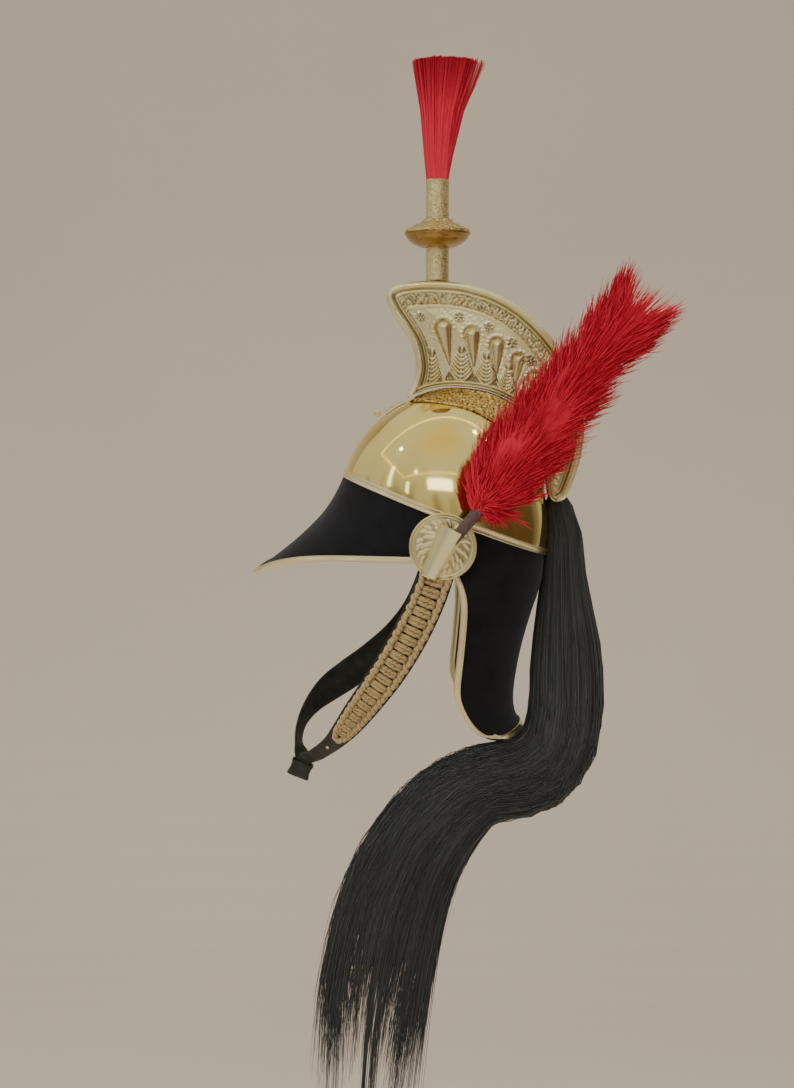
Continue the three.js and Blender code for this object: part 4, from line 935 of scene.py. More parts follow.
def leaf_field(radius, turn):
    """Three rings of curved leaves: bows from their roots, wide in the middle, leaning to the holder."""
    y, z = radius * np.cos(turn), radius * np.sin(turn)
    rng = np.random.default_rng(31)
    leaf = np.zeros_like(y)
    for root, count, length, half, lean in LEAF_RINGS:
        for bearing in np.arange(count) * 2 * np.pi / count + root + rng.normal(0, 0.07, count):
            hand = np.sign(np.sin(bearing - HOLDER_BEARING))
            way = bearing + hand * lean * rng.uniform(0.7, 1.2)
            p = (y - root * np.cos(bearing)) * np.cos(way) + (z - root * np.sin(bearing)) * np.sin(way)
            q = (z - root * np.sin(bearing)) * np.cos(way) - (y - root * np.cos(bearing)) * np.sin(way)
            share = np.clip(p / length, 0, 1)
            width = half * np.clip(4 * share * (1 - share), 0.0001, 1) ** 0.55
            across = (q + hand * 0.05 * p * (length - p)) / width
            on_leaf = (p > 0) & (p < length)
            leaf = np.maximum(leaf, np.where(on_leaf, np.clip(1.25 - across ** 2, 0, 1) ** 0.5, 0))
    return leaf


def rosette_height(radius, turn):
    """Relief over the back plane: a low dome, two rims and raised leaves, with painted shade on the ground
    between the leaves and in the groove by the rims.
    """
    leaf = leaf_field(radius, turn)
    dome = 1.2 + 3.0 * np.cos(np.clip(radius / 30, 0, 1) * np.pi / 2)
    rims = 1.6 * hill(radius - 30.8, 0.7) + 0.9 * hill(radius - 28.4, 0.5)
    field = (radius < 27.6) * (radius > 6)
    ground = 0.75 * np.clip(1 - 1.6 * leaf, 0, 1) * hill(radius - 20, 9)
    dark = np.where(field, ground, 0) + 0.6 * hill(radius - 29.6, 0.4)
    return dome + rims + 0.8 * leaf * field, np.clip(dark, 0, 0.8)


ring = np.concatenate([np.linspace(0.02, 0.9, 46), np.linspace(0.915, 1, 10)]) * ROSETTE_RADIUS
turn = circle(BOSS_SIDES)[None, :]
# The second value is the face's painted shade.
face_height, face_painted_shade = rosette_height(ring[:, None], turn)
radius_rows = np.concatenate([ring, [ROSETTE_RADIUS, 30, 15, 15, 0.6]])[:, None] + 0 * turn
height_rows = np.concatenate([face_height, np.array([0.4, 0, 0, -5.2, -5.2])[:, None] + 0 * turn])
# The painted shade is weakened to 0.7 and left off the rim and back.
rosette_painted_shade = np.concatenate([0.7 * face_painted_shade, np.zeros((5, BOSS_SIDES))])
# tint(112, 90, 52) is the boss's painted shade tone.
boss_brass = brass("boss_brass", tint(255, 250, 204), tint(250, 236, 176), 0.34, 0.15, tint(112, 90, 52), 0.3)
for name, side in SIDES:
    points = np.stack([
        side * (ROSETTE_X + height_rows),
        ROSETTE_MIDDLE[0] + radius_rows * np.cos(turn),
        ROSETTE_MIDDLE[1] + radius_rows * np.sin(turn),
    ], -1)
    put("ear_boss_" + name, points, capped(len(points), BOSS_SIDES), boss_brass, "crest_brass",
        ["rosette_" + name], {"hollow": rosette_painted_shade.ravel()})


# Plume holder and stem: a tapered half cone of brass with a folded lip at its rear, soldered to the boss.
# It is open at the top, where the dark wooden stem of the plume goes in.
HOLDER_FOOT = np.array([ROSETTE_X + 3.0, -14, -17])
HOLDER_MOUTH = np.array([ROSETTE_X + 3.0, 9, 29.5])
STEM_FOOT = np.array([109.8, 5.5, 14])
STEM_HEAD = np.array([112.5, 36, 50])
STEM_RADIUS = 5.4
HOLDER_WALL = 1.2


def shift(at, first, one, second, two):
    """Points moved by one along the directions first and by two along the directions second."""
    return at + first * one[..., None] + second * two[..., None]


def holder():
    """Half cone: a row of arches from foot to mouth, wider and higher as they go, as a wall 1.2 mm thick."""
    t = np.linspace(0, 1, 41)[:, None]
    arch = np.linspace(0, np.pi, 49)[None, :]
    half = 7.2 + 6.2 * t ** 0.9
    high = 8.0 + 11.3 * t
    way = unit(HOLDER_MOUTH - HOLDER_FOOT)
    beside = np.cross(way, [1, 0, 0])
    shape = np.sin(arch) ** 0.75

    def skin(inset):
        lip = 1.3 * hill(arch - 2.82, 0.07) + 1.1 * hill(arch - 2.99, 0.05)
        x = (high - inset) * shape + lip * (inset == 0)
        side = -(half - inset) * np.cos(arch)
        spot = HOLDER_FOOT + (HOLDER_MOUTH - HOLDER_FOOT) * t[..., None]
        return shift(spot, np.array([1.0, 0, 0]), x, beside, side)
    return wall(skin(0), skin(HOLDER_WALL))


def stem_material():
    """Dark stained wood: long fibres and a dull polish."""
    material, tree, shader = graph("stem_wood")
    fibre = noise(tree, place_in(tree, (1, 2.2, 0.5)), 240, 5, 0.7)
    feed(tree, shader, Base_Color=ramp(tree, fibre, (0.3, tint(62, 44, 44)), (0.7, tint(104, 82, 82))))
    feed(tree, shader, Roughness=level(tree, fibre, 0.6, 0.4), Normal=bump(tree, fibre, 0.4, 0.0006))
    return material


put("plume_holder", *holder(), crest_brass, "crest_brass", ["plume_socket"])
stem_way = STEM_HEAD - STEM_FOOT
stem_share = np.linspace(-0.02, 1.15, 14)[None, :, None]
stem = blades(STEM_FOOT + stem_way * stem_share, np.full((1, 14), STEM_RADIUS), 28)
put("stem", *stem, stem_material(), "stem_wood", ["plume_stem"])


# Side plume: a long hackle of dyed red feather, bound on the stem, with barbs that stand out in clumps.
# A dark, soft core carries thousands of curved barbs, longest at the sides and split at the tip.
PLUME_ROWS = [
    (111.5, 33, 46, 13, 8), (112, 42, 59, 30, 14), (113, 54, 74, 37, 17), (114, 70, 97, 38, 18),
    (115, 89, 121, 36, 18), (116, 111, 149, 32, 17), (117, 132, 177, 29, 16), (118, 153, 202, 29, 14),
    (119, 170, 223, 29, 12), (120, 186, 243, 24, 8),
]


def way_along(rows, u):
    """Direction of a table's line at shares u, from the rows a hundredth of it ahead and behind."""
    ahead, behind = read_rows(rows, np.minimum(1, u + 0.01)), read_rows(rows, np.maximum(0, u - 0.01))
    return unit(ahead[..., :3] - behind[..., :3])


def row_frame(rows, u):
    """Row values and the directions ahead, sideways and in depth on a table of x, y, z and sizes."""
    at, way = read_rows(rows, u), way_along(rows, u)
    depth = unit(np.array([1.0, 0, 0]) - way * way[..., :1])
    return at, way, np.cross(way, depth), depth


def oval_body(rows, u, sides, scale, lobes, lobe_count):
    """A closed body of ovals along a table of rows, whose scale at each row draws the ends in."""
    at, _, beside, depth = row_frame(rows, u)
    turn = circle(sides)[None, :]
    size = scale[:, None] * (1 + lobes * np.sin(turn * lobe_count + u[:, None] * 6))
    wide, deep = at[:, 3:4] * size * np.cos(turn), at[:, 4:5] * size * np.sin(turn)
    return shift(at[:, None, :3], beside[:, None], wide, depth[:, None], deep), capped(len(u), sides)


def smooth_step(value, low, high):
    share = np.clip((value - low) / (high - low), 0, 1)
    return share * share * (3 - 2 * share)


red_feather = hair_material("red_feather", tint(200, 28, 56), tint(238, 54, 78), 0.6)
rng = np.random.default_rng(23)
PLUME_CORE_END = 0.93
PLUME_CORE_STEPS = 60
PLUME_CORE_SIDES = 48
core_u = np.linspace(0, PLUME_CORE_END, PLUME_CORE_STEPS)
core_scale = 0.7 * np.sin(np.clip(core_u / PLUME_CORE_END, 0.004, 0.996) * np.pi) ** 0.35
core_points, core_faces = oval_body(PLUME_ROWS, core_u, PLUME_CORE_SIDES, core_scale, 0.05, 11)
put("plume_core", core_points, core_faces, red_feather, "red_feather", ["side_plume"],
    {"strand": np.full(PLUME_CORE_STEPS * PLUME_CORE_SIDES, 0.2)})

BARBS = 2600
CLUMPS = 190
FRINGE = 5
BARB_STEPS = 5
BARB_RADIUS = 0.85
for part, sign in (("near", 1), ("far", -1)):
    clump = rng.integers(0, CLUMPS, BARBS)
    clump_u = np.sort(rng.uniform(0.0, 0.95, CLUMPS))
    clump_turn = rng.uniform(0, np.pi, CLUMPS)
    clump_reach = rng.uniform(0.85, 1.12, CLUMPS)
    barb_u = np.clip(clump_u[clump] + rng.normal(0, 0.014, BARBS), 0.0, 0.97)
    fork = smooth_step(barb_u, 0.8, 0.96)
    barb_turn = clump_turn[clump] + rng.normal(0, 0.2, BARBS)
    barb_turn = sign * (barb_turn - 0.45 * fork * np.sin(2 * barb_turn))
    at, way, beside, depth = row_frame(PLUME_ROWS, barb_u)
    reach = (clump_reach[clump] * rng.uniform(0.78, 1.05, BARBS))[:, None]
    wide = at[:, 3:4] + FRINGE + 3 * smooth_step(barb_u, 0.45, 0.9)[:, None]
    out = np.cos(barb_turn)[:, None] * beside * wide + np.sin(barb_turn)[:, None] * depth * at[:, 4:5] * 1.1
    out = out * reach
    forward = rng.uniform(26, 40, BARBS) * (0.3 + 0.7 * smooth_step(barb_u, 0, 0.25))
    forward = way * forward[:, None]
    sweep = np.linspace(0, 1, BARB_STEPS)[None, :, None]
    droop = rng.normal(0, 2.0, (BARBS, 1, 3)) * sweep ** 2
    droop = droop + rng.normal(0, 1.0, (CLUMPS, 1, 3))[clump] * sweep
    curl = np.where((barb_u < 0.12) & (np.cos(barb_turn) > 0), rng.uniform(2, 14, BARBS), 0)
    droop[..., 2] -= curl[:, None] * sweep[..., 0] ** 2
    barb_paths = at[:, None, :3] + out[:, None] * (0.3 + 0.95 * sweep - 0.25 * sweep ** 2)
    barb_paths = barb_paths + forward[:, None] * (sweep ** 1.3 - 0.3) + droop
    barb_radius = BARB_RADIUS * (1 - sweep[..., 0] ** 2 * 0.9) * rng.uniform(0.7, 1.15, (BARBS, 1))
    barb_points, barb_faces = blades(barb_paths, barb_radius)
    barb_tone = np.clip(rng.uniform(0, 1, CLUMPS)[clump] * 0.3 + rng.uniform(0.2, 0.6, BARBS), 0, 1)
    put("plume_barbs_" + part, barb_points, barb_faces, red_feather, "red_feather", (),
        {"strand": np.repeat(barb_tone, BARB_STEPS * BLADE_SIDES)})


# Chin strap: two tapered black leather straps that meet in a sleeve under the chin.
# Each table row is a spot on the strap's middle line and its width there.
STRAP_LEFT = [
    (92.8, -3, -6.5, 33), (92.4, -11, -31, 34), (88.5, -24, -61, 35), (82, -38, -88, 35),
    (75, -51.5, -111, 34), (67, -65.5, -132, 32), (56, -81.5, -155, 29), (44, -95, -174, 24),
    (32, -108.5, -190, 18), (19, -124, -203, 16), (9, -132.5, -208, 14.5), (3, -137.6, -214.5, 14),
]
STRAP_RIGHT = [
    (-92.8, 1, -6.5, 33), (-92.4, -5, -36, 34), (-87.5, -20, -70, 34), (-79, -41, -96, 33),
    (-68, -68, -118, 32), (-55, -93, -134, 31), (-42, -112, -146, 28), (-30, -127, -159, 21),
    (-20, -138, -175, 15), (-12, -142, -191, 14), (-5.6, -140, -203.5, 14.5), (-1.6, -137.4, -214.5, 14),
]
STRAPS = (("left", STRAP_LEFT), ("right", STRAP_RIGHT))
STRAP_CENTRE = np.array([0, -50, -110])
STRAP_THICK = 2.0


def strap_frame(rows, u):
    """Spot, outward and sideways directions and width. Outward turns from the jaw to X at both ends."""
    at, way = read_rows(rows, u), way_along(rows, u)
    outward = unit(at[..., :3] - STRAP_CENTRE)
    turned_share = np.maximum(smooth_step(u, 0.82, 1), 1 - smooth_step(u, 0.06, 0.3))[..., None]
    outward = outward * (1 - turned_share) + np.array([np.sign(rows[0][0]), 0, 0]) * turned_share
    outward = unit(outward - way * (outward * way).sum(-1, keepdims=True))
    return at[..., :3], outward, unit(np.cross(way, outward)), at[..., 3]


def strap(name, rows, replaces):
    """A rounded flat section, creased beside each edge, carried down the strap."""
    u = np.linspace(0, 1, 101)
    spot, outward, beside, width = strap_frame(rows, u)
    share = np.linspace(-1, 1, 17)
    skin = STRAP_THICK - 0.5 * np.abs(share) ** 14 - 0.25 * hill(np.abs(share) - 0.86, 0.04)
    under = 0.1 + 0.4 * np.abs(share[::-1]) ** 14
    section_side = width[:, None] / 2 * np.concatenate([share, share[::-1]])
    section_lift = np.concatenate([skin, under])[None]
    loops = shift(spot[:, None], beside[:, None], section_side, outward[:, None], section_lift)
    put(name, loops, capped(*loops.shape[:2]), strap_leather, "leather", replaces)


strap_leather = leather_material("strap_leather", tint(36, 36, 32), 0.42)
for name, rows in STRAPS:
    strap("strap_" + name, rows, ["chin_strap_" + name])


# Cord lacing: one twisted gold cord goes down each strap, round its end and back up, with links between.
# The cord is dull metal thread in two plies, sewn to the leather.
LACE_START = 0.03
LACE_END = 0.678
LACE_MARGIN = 5.3
SIDE_CORD = 3.3
RUNG_CORD = 2.75
LACE_STEPS = 260
PLIES = 2
FIRST_LINK = 9.0
LAST_LINK = 8.0
LINK_PITCH = 10.8
PITCH_LOSS = 3.2
LINK_REACH = 0.74


def cord_material():
    """Dull gold metal thread: fine strands that wind round the cord with the mark named wind, and painted
    shade by the mark hollow.
    """
    material, tree, shader = graph("gold_cord")
    wind = mark(tree, "wind", "Vector")
    thread = node(tree, "TexWave", Vector=wind, Scale=1.0, Distortion=0.6, Detail=1.0).outputs[1]
    hollow = mark(tree, "hollow")
    tone = ramp(tree, thread, (0.1, tint(170, 144, 96)), (0.75, tint(240, 214, 158)))
    # tint(56, 38, 22) is painted shade, blended in by the mark hollow.
    tone = blend(tree, hollow, tone, (*tint(56, 38, 22), 1))
    feed(tree, shader, Base_Color=tone, Metallic=0.25, Roughness=0.5, Sheen_Weight=0.2)
    feed(tree, shader, Normal=bump(tree, thread, 0.5, 0.0004), Sheen_Tint=(0.9, 0.75, 0.45, 1))
    return material


def rope(path, up, radius, twist, sides):
    """A cord along a path: a round section that swells once for each ply and turns with the length."""
    way = unit(np.gradient(path, axis=0))
    beside = unit(np.cross(way, up))
    lift = np.cross(beside, way)
    run = run_of(path)[:, None]
    turn = circle(sides)[None, :]
    ply = np.abs(np.cos((turn * PLIES - twist * run) / 2))
    size = radius * (0.74 + 0.29 * ply ** 0.7)
    points = shift(path[:, None], beside[:, None], size * np.cos(turn), lift[:, None], size * np.sin(turn))
    wind = np.stack([turn * 3 + run * 2.2, turn * 0.7 + 0 * run, run * 0.5 + 0 * turn], -1)
    # Besides the points, painted shade in the creases where the plies meet, and the marks for the winding
    # thread.
    return points, 0.9 * np.clip(0.35 - ply, 0, 1) / 0.35, wind


def lace(name, rows, replaces):
    """The side cord as one waved loop, and links of two bowed cords, closer together towards the end."""
    u = np.linspace(LACE_START, LACE_END, LACE_STEPS)
    spot, outward, beside, width = strap_frame(rows, u)
    run = run_of(spot)
    stops, pitches, stop = [], [], FIRST_LINK
    while stop < run[-1] - LAST_LINK:
        stops.append(stop)
        pitches.append(LINK_PITCH - PITCH_LOSS * stop / run[-1])
        stop += pitches[-1]
    half = (width / 2 - LACE_MARGIN) * np.sqrt(np.clip((LACE_END + 0.006 - u) / 0.05, 0, 1))
    swing = 1 + 0.08 * np.cos(2 * np.pi * np.interp(run, stops, np.arange(len(stops))))
    lift = outward * (STRAP_THICK + SIDE_CORD * 0.85)
    aside = beside * (half * swing)[:, None]
    path = np.concatenate([spot + lift + aside, (spot + lift - aside)[::-1]])
    parts = [rope(even_out(path, 4), np.concatenate([outward, outward[::-1]]), SIDE_CORD, 1.05, 10)]
    across_share = np.linspace(-1, 1, 9)
    for stop, pitch in zip(stops, pitches):
        for hand in (-1, 1):
            bow = hand * 0.23 * pitch * np.sqrt(1 - 0.8 * across_share ** 2)
            middle, out, side, _ = strap_frame(rows, np.interp(stop + bow, run, u))
            reach = across_share * np.interp(stop, run, half) * LINK_REACH
            arch = STRAP_THICK + RUNG_CORD * 0.9 + 2.0 * np.sqrt(1 - across_share ** 4)
            link = middle + side * reach[:, None] + out * arch[:, None]
            grid, dark, wind = rope(link, out, 0.255 * pitch, 1.5, 8)
            # Each link gets painted shade towards its ends, beside the side cords.
            parts.append((grid, np.maximum(dark, np.abs(across_share[:, None]) ** 6), wind))
    points, faces, hollow, wind, start = [], [], [], [], 0
    for grid, dark, turn_marks in parts:
        rows_in, sides = grid.shape[:2]
        points.append(grid.reshape(-1, 3))
        faces += [part + start for part in capped(rows_in, sides)]
        hollow.append(dark.ravel())
        wind.append(turn_marks.reshape(-1, 3))
        start += rows_in * sides
    put(name, np.concatenate(points), faces, gold_cord, "gold_cord", replaces,
        {"hollow": np.concatenate(hollow), "wind": np.concatenate(wind)})


gold_cord = cord_material()
for name, rows in STRAPS:
    lace("lace_" + name, rows, ["cord_lace_" + name])


# Horsehair tail: long straight black hair bound into the rear of the crest.
# It falls behind the neck guard, then comes forward over the left shoulder and ends in loose locks.
TAIL_ROWS = [
    (0, 116, 56, 7, 6), (0, 117.2, 44, 12.7, 10), (0, 122.4, 20, 16.9, 14.5), (0, 123.6, -10, 18.6, 17),
    (1, 124.3, -40, 22.8, 20.5), (2, 125.5, -70, 27.7, 23), (4, 127, -100, 32, 26),
    (8, 127, -130, 34, 28), (15, 126, -161, 34, 28), (26, 117, -193, 36, 27), (41, 97, -213, 38, 25),
    (57, 69, -221, 37, 23), (72, 42, -220, 36, 21), (86, 12, -236, 41, 19), (96, -14, -263, 44, 18),
    (103, -36, -300, 47, 17), (108, -51, -343, 51, 16), (112, -61, -390, 54, 15),
    (114, -69, -440, 56, 12), (115, -74, -500, 55, 8), (116, -78, -572, 52, 4),
]
CORE_END = 0.85
TAIL_SIDES = 96
FLOW_ROUND = 34
FLOW_ALONG = 7


def tail_material():
    """Black horsehair: brown-black from hair to hair, with a long cool shine."""
    material, tree, shader = graph("black_hair")
    strand = mark(tree, "strand")
    flow = mark(tree, "flow", "Vector")
    fine = noise(tree, flow, 1.0, 4, 0.6)
    tone = blend(tree, 0.5, ramp(tree, strand, (0.0, tint(30, 32, 33)), (1.0, tint(82, 86, 85))),
                 ramp(tree, fine, (0.3, tint(28, 30, 31)), (0.7, tint(86, 90, 88))))
    feed(tree, shader, Base_Color=tone, Roughness=0.45, Specular_IOR_Level=0.5)
    feed(tree, shader, Normal=bump(tree, fine, 0.7, 0.001))
    return material


black_hair = tail_material()
tail_u = np.linspace(0, CORE_END, TAIL_SIDES)
tail_start = np.clip(tail_u / 0.02, 0.05, 1) ** 0.5
tail_scale = 0.93 * tail_start * np.clip((CORE_END + 0.004 - tail_u) / 0.1, 0.03, 1) ** 0.6
tail_points, tail_faces = oval_body(TAIL_ROWS, tail_u, TAIL_SIDES, tail_scale, 0.008, 23)
turn = circle(TAIL_SIDES)
flow = [np.cos(turn)[None] * FLOW_ROUND, np.sin(turn)[None] * FLOW_ROUND, tail_u[:, None] * FLOW_ALONG]
flow = np.stack(np.broadcast_arrays(*flow), -1)
put("tail_core", tail_points, tail_faces, black_hair, "black_hair", ["horsehair_tail"],
    {"strand": np.full(TAIL_SIDES ** 2, 0.35), "flow": flow.reshape(-1, 3)})

rng = np.random.default_rng(41)
LOCKS = 20
STRAND_STEPS = 16
LOOSE = 60
GATHER = 0.6
for part, strands in (("near", 2050), ("far", 1000)):
    lock = rng.integers(0, LOCKS, strands)
    first_turn = 0 if part == "near" else np.pi
    lock_turn = (np.arange(LOCKS) + rng.uniform(-0.35, 0.35, LOCKS)) * np.pi / LOCKS + first_turn
    lock_end = rng.uniform(0.92, 1.0, LOCKS)
    start_turn = rng.uniform(0, np.pi, strands) + first_turn
    in_lock = rng.uniform(0, 1, strands) < 0.5
    start_turn = np.where(in_lock, lock_turn[lock] + rng.normal(0, 0.1, strands), start_turn)
    lock = np.abs(np.angle(np.exp(1j * (start_turn[:, None] - lock_turn[None])))).argmin(1)
    end = np.clip(lock_end[lock] + rng.uniform(-0.16, 0.0, strands), 0.8, 1)
    phase = rng.uniform(0, 0.05, (strands, 1))
    u = np.clip(np.linspace(0, 1, STRAND_STEPS)[None, :] ** (1 + phase), 0.004, 1) * end[:, None]
    gather = smooth_step(u, 0.72, 0.97)
    turn = start_turn[:, None] * (1 - GATHER * gather) + lock_turn[lock][:, None] * GATHER * gather
    loose = (np.arange(strands) < LOOSE)[:, None]
    turn = turn + rng.normal(0, 0.04, (strands, 1)) * np.sin(u * 8 + phase * 90) * (1 + 2 * loose)
    at, _, beside, depth = row_frame(TAIL_ROWS, u)
    ring = 0.95 + 0.05 * np.abs(rng.normal(0, 1, (strands, 1)))
    ring = ring + loose * rng.uniform(0, 0.14, (strands, 1)) * u
    ring = ring * (1 - 0.5 * smooth_step(u, 0.78, 0.95) * rng.uniform(0, 1, (strands, 1)))
    wide, deep = at[..., 3] * ring * np.cos(turn), at[..., 4] * ring * np.sin(turn)
    paths = shift(at[..., :3], beside, wide, depth, deep)
    taper = np.sqrt(np.clip(1.02 - np.linspace(0, 1, STRAND_STEPS)[None, :] ** 3, 0.02, 1))
    radius = np.where(loose, 0.3, 0.55) * taper * rng.uniform(0.7, 1.25, (strands, 1))
    points, faces = blades(paths, radius)
    tone = np.repeat(rng.uniform(0, 1, strands), STRAND_STEPS * BLADE_SIDES)
    flow = np.stack([lock * 7.0, start_turn * 30, rng.uniform(0, 9, strands)], -1)
    put("tail_hair_" + part, points, faces, black_hair, "black_hair", (),
        {"strand": tone, "flow": np.repeat(flow, STRAND_STEPS * BLADE_SIDES, 0)})


# Sleeve and rivet: a folded leather sleeve that gathers both ends of the strap, and a small brass rivet.
# The sleeve is one band with rounded corners, and the rivet holds the lap of the left strap.
SLEEVE_SPOT = np.array([1.0, -140.5, -221.5])
SLEEVE_HALF = np.array([7.9, 11.2])
SLEEVE_WALL = 1.5
SLEEVE_TILT = math.radians(-22)
SLEEVE_RISE = 7.6
SLEEVE_CORNER = 0.4
SLEEVE_SIDES = 64
RIVET_SHARE = 0.745


def sleeve():
    """A superellipse, pinched at mid height, as a closed wall that leans back with the strap."""
    turn = circle(SLEEVE_SIDES)[None, :]
    rise = np.linspace(-1, 1, 13)[:, None]
    lip = 0.5 * hill(np.abs(rise) - 0.9, 0.08) - 0.9 * np.cos(rise * np.pi / 2) ** 2

    def band(inset, swell):
        x, y = [(half - inset + swell) * np.sign(side) * np.abs(side) ** SLEEVE_CORNER
                for half, side in zip(SLEEVE_HALF, (np.cos(turn), np.sin(turn)))]
        return np.stack([x, y, rise * SLEEVE_RISE + 0 * turn], -1)
    loops = np.concatenate([band(0, lip), band(SLEEVE_WALL, lip)[::-1]])
    y, z = loops[..., 1], loops[..., 2]
    lean_cos, lean_sin = math.cos(SLEEVE_TILT), math.sin(SLEEVE_TILT)
    leaning = [loops[..., 0], y * lean_cos - z * lean_sin, y * lean_sin + z * lean_cos]
    return np.stack(leaning, -1) + SLEEVE_SPOT


sleeve_rows = sleeve()
sleeve_faces = quads(len(sleeve_rows), SLEEVE_SIDES, True, True)
put("strap_sleeve", sleeve_rows, sleeve_faces, strap_leather, "leather", ["strap_slider"])
spot, outward, beside, _ = strap_frame(STRAP_LEFT, np.array([RIVET_SHARE]))
rivet_rise = np.array([-1.2, -1.2, 0.0, 0.4, 0.8, 1.1, 1.25])[:, None]
rivet_radius = np.array([0.05, 1.9, 1.9, 1.75, 1.35, 0.8, 0.05])[:, None]
turn = circle(24)[None, :]
along = np.cross(outward[0], beside[0])
rivet = spot[0] + outward[0] * (STRAP_THICK + rivet_rise + 0 * turn)[..., None]
rivet = shift(rivet, beside[0], rivet_radius * np.cos(turn), along, rivet_radius * np.sin(turn))
put("strap_rivet", rivet, capped(*rivet.shape[:2]), trim_brass, "trim_brass")

# The tongue in front of the crest and its ball nut keep their solids and take the crest's brass.
for piece in bpy.data.objects:
    if piece.type == "MESH" and piece.data.materials and "tongue" in piece.name:
        piece.data.materials[0] = crest_brass


# Studio: a pale sweep of wall and floor, a large soft lamp overhead and two soft fills.
# A thin warm light line runs round the ceiling, with small spots, and a window glows behind the camera.
FLOOR = -900
CEILING = 3200
WALL = -2600
SWEEP_RADIUS = 1500
SWEEP_HALF_WIDTH = 3200
LAMP_HEIGHT = 2.5
LINE_POWER = 13


def studio_sweep():
    """Floor, round corner and wall as one strip of points, in millimetres."""
    corner = np.linspace(0, np.pi / 2, 24)
    out = np.concatenate([[-WALL], WALL + SWEEP_RADIUS * (1 - np.sin(corner)), [WALL]])
    up = np.concatenate([[FLOOR], FLOOR + SWEEP_RADIUS * (1 - np.cos(corner)), [CEILING]])
    line = np.stack([out, 0 * out, up], -1)
    return line[:, None] + np.array([[0, -SWEEP_HALF_WIDTH, 0], [0, SWEEP_HALF_WIDTH, 0]])


def studio_material():
    material, tree, shader = graph("studio_wall")
    cloud = noise(tree, place_in(tree), 1.2, 2)
    tone = ramp(tree, cloud, (0.2, tint(212, 203, 191)), (0.8, tint(217, 208, 196)))
    feed(tree, shader, Base_Color=tone, Roughness=0.9)
    return material


WARM_WAY = (0.48, 0, 0.876)
REAR_WAY = (0.3, 0.95, -0.05)


def toward(tree, way, aim, start, end, most):
    """How far a direction leans to an aim: 0 at a dot product of start, and most at one of end."""
    lean = node(tree, "VectorMath", {"operation": "DOT_PRODUCT"}, Vector=way)
    lean.inputs[1].default_value = aim
    return level(tree, lean.outputs["Value"], 0, most, start, end)


def room_light():
    """Light by the height of its direction: grey below, pale above, and soft dark uprights between."""
    room = bpy.data.worlds.new("room")
    room.use_nodes = True
    tree = room.node_tree
    way = node(tree, "TexCoord").outputs["Generated"]
    height = level(tree, node(tree, "SeparateXYZ", Vector=way).outputs[2], 0, 1, -1, 1)
    tone = ramp(tree, height, (0.2, tint(152, 142, 128)), (0.48, tint(198, 188, 172)),
                (0.62, tint(216, 208, 194)), (0.95, tint(238, 231, 220)))
    streak = noise(tree, node(tree, "Mapping", Vector=way, Scale=(3.4, 3.4, 0.4)).outputs[0], 1.0, 3)
    near_eye = ramp(tree, height, (0.3, (0, 0, 0)), (0.45, (1, 1, 1)), (0.62, (1, 1, 1)), (0.74, (0, 0, 0)))
    uprights = times(tree, near_eye, level(tree, streak, 0, 0.5, 0.54, 0.62))
    tone = blend(tree, uprights, tone, (*tint(98, 78, 58), 1))
    tone = blend(tree, toward(tree, way, WARM_WAY, 0.92, 1.0, 0.6), tone, (*tint(255, 216, 116), 1))
    tone = blend(tree, toward(tree, way, REAR_WAY, 0.55, 0.85, 0.93), tone, (*tint(84, 60, 44), 1))
    feed(tree, tree.nodes["Background"], Color=tone, Strength=0.82)
    bpy.context.scene.world = room


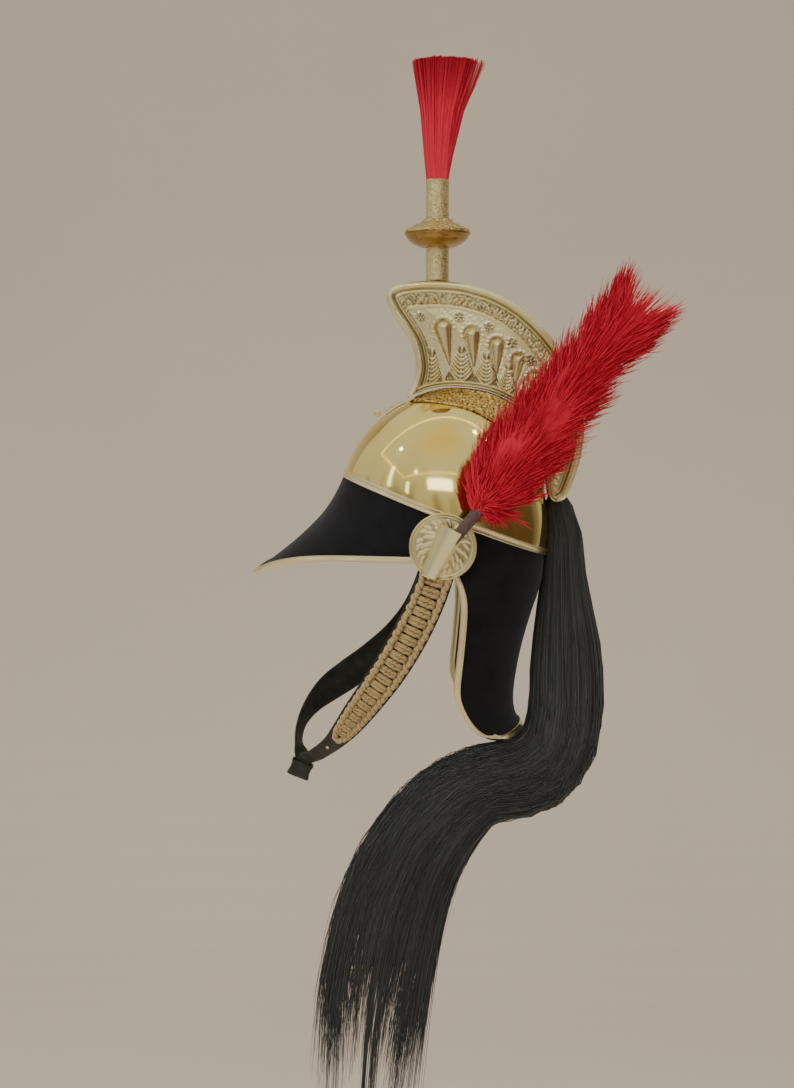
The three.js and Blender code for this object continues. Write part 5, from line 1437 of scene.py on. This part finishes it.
def lamp(name, spot, target, width, height, power, color, reflected=True):
    """A soft rectangle of light at a spot in metres. Its width lies along X when it points down."""
    data = bpy.data.lights.new(name, "AREA")
    data.shape = "RECTANGLE"
    data.size, data.size_y = width, height
    data.energy = power
    data.color = color
    made = bpy.data.objects.new(name, data)
    made.location = spot
    if target:
        made.rotation_euler = (Vector(target) - Vector(spot)).to_track_quat("-Z", "Y").to_euler()
    made.visible_camera = False
    made.visible_glossy = reflected
    bpy.context.scene.collection.objects.link(made)


LAMPS = [
    ("overhead", (0.5, 0.0, 2.4), (0, 0, 0), 2.4, 2.4, 28, (1.0, 0.97, 0.92), False),
    ("front_fill", (2.6, -1.4, 1.3), (0, 0, 0.1), 1.8, 1.8, 30, (1.0, 0.98, 0.94), False),
    ("rear_fill", (1.8, 2.2, 1.0), (0, 0, 0.1), 1.2, 1.4, 9, (0.98, 0.98, 1.0), False),
    ("window", (2.9, -0.1, 1.45), (0, 0, 0.1), 1.3, 0.5, 6, (1.0, 0.99, 0.96)),
    ("window_side", (1.95, -3.1, 1.8), (0, 0, 0.1), 0.25, 1.2, 2.2, (1.0, 0.99, 0.96)),
    ("window_far", (3.1, -2.25, 1.4), (0, 0, 0.1), 0.2, 0.7, 1.2, (1.0, 0.99, 0.96)),
]
sweep_grid = studio_sweep()
sweep_mesh = bpy.data.meshes.new("backdrop")
sweep_points, sweep_faces = sweep_grid.reshape(-1, 3) * 0.001, quads(*sweep_grid.shape[:2])
sweep_mesh.from_pydata(sweep_points.tolist(), [], sweep_faces.tolist())
sweep_mesh.materials.append(studio_material())
backdrop = bpy.data.objects.new("backdrop", sweep_mesh)
bpy.context.scene.collection.objects.link(backdrop)
room_light()
for settings in LAMPS:
    lamp(*settings)
for name, x, y, width, height in (("inner", 0.15, -0.3, 0.03, 5.6), ("outer", 3.5, -0.3, 0.04, 5.2),
                                  ("front", 1.85, -3.1, 3.4, 0.04), ("rear", 1.85, 2.4, 3.4, 0.04)):
    power = LINE_POWER * width * height
    lamp("light_line_" + name, (x, y, LAMP_HEIGHT), None, width, height, power, (1.0, 0.70, 0.12))
for k, (x, y) in enumerate([(1.04, -1.89), (3.2, -1.73), (0.5, 1.4), (0.46, 2.1)]):
    lamp("ceiling_spot_%d" % k, (x, y, LAMP_HEIGHT), None, 0.13, 0.13, 0.9, (1.0, 0.97, 0.9))
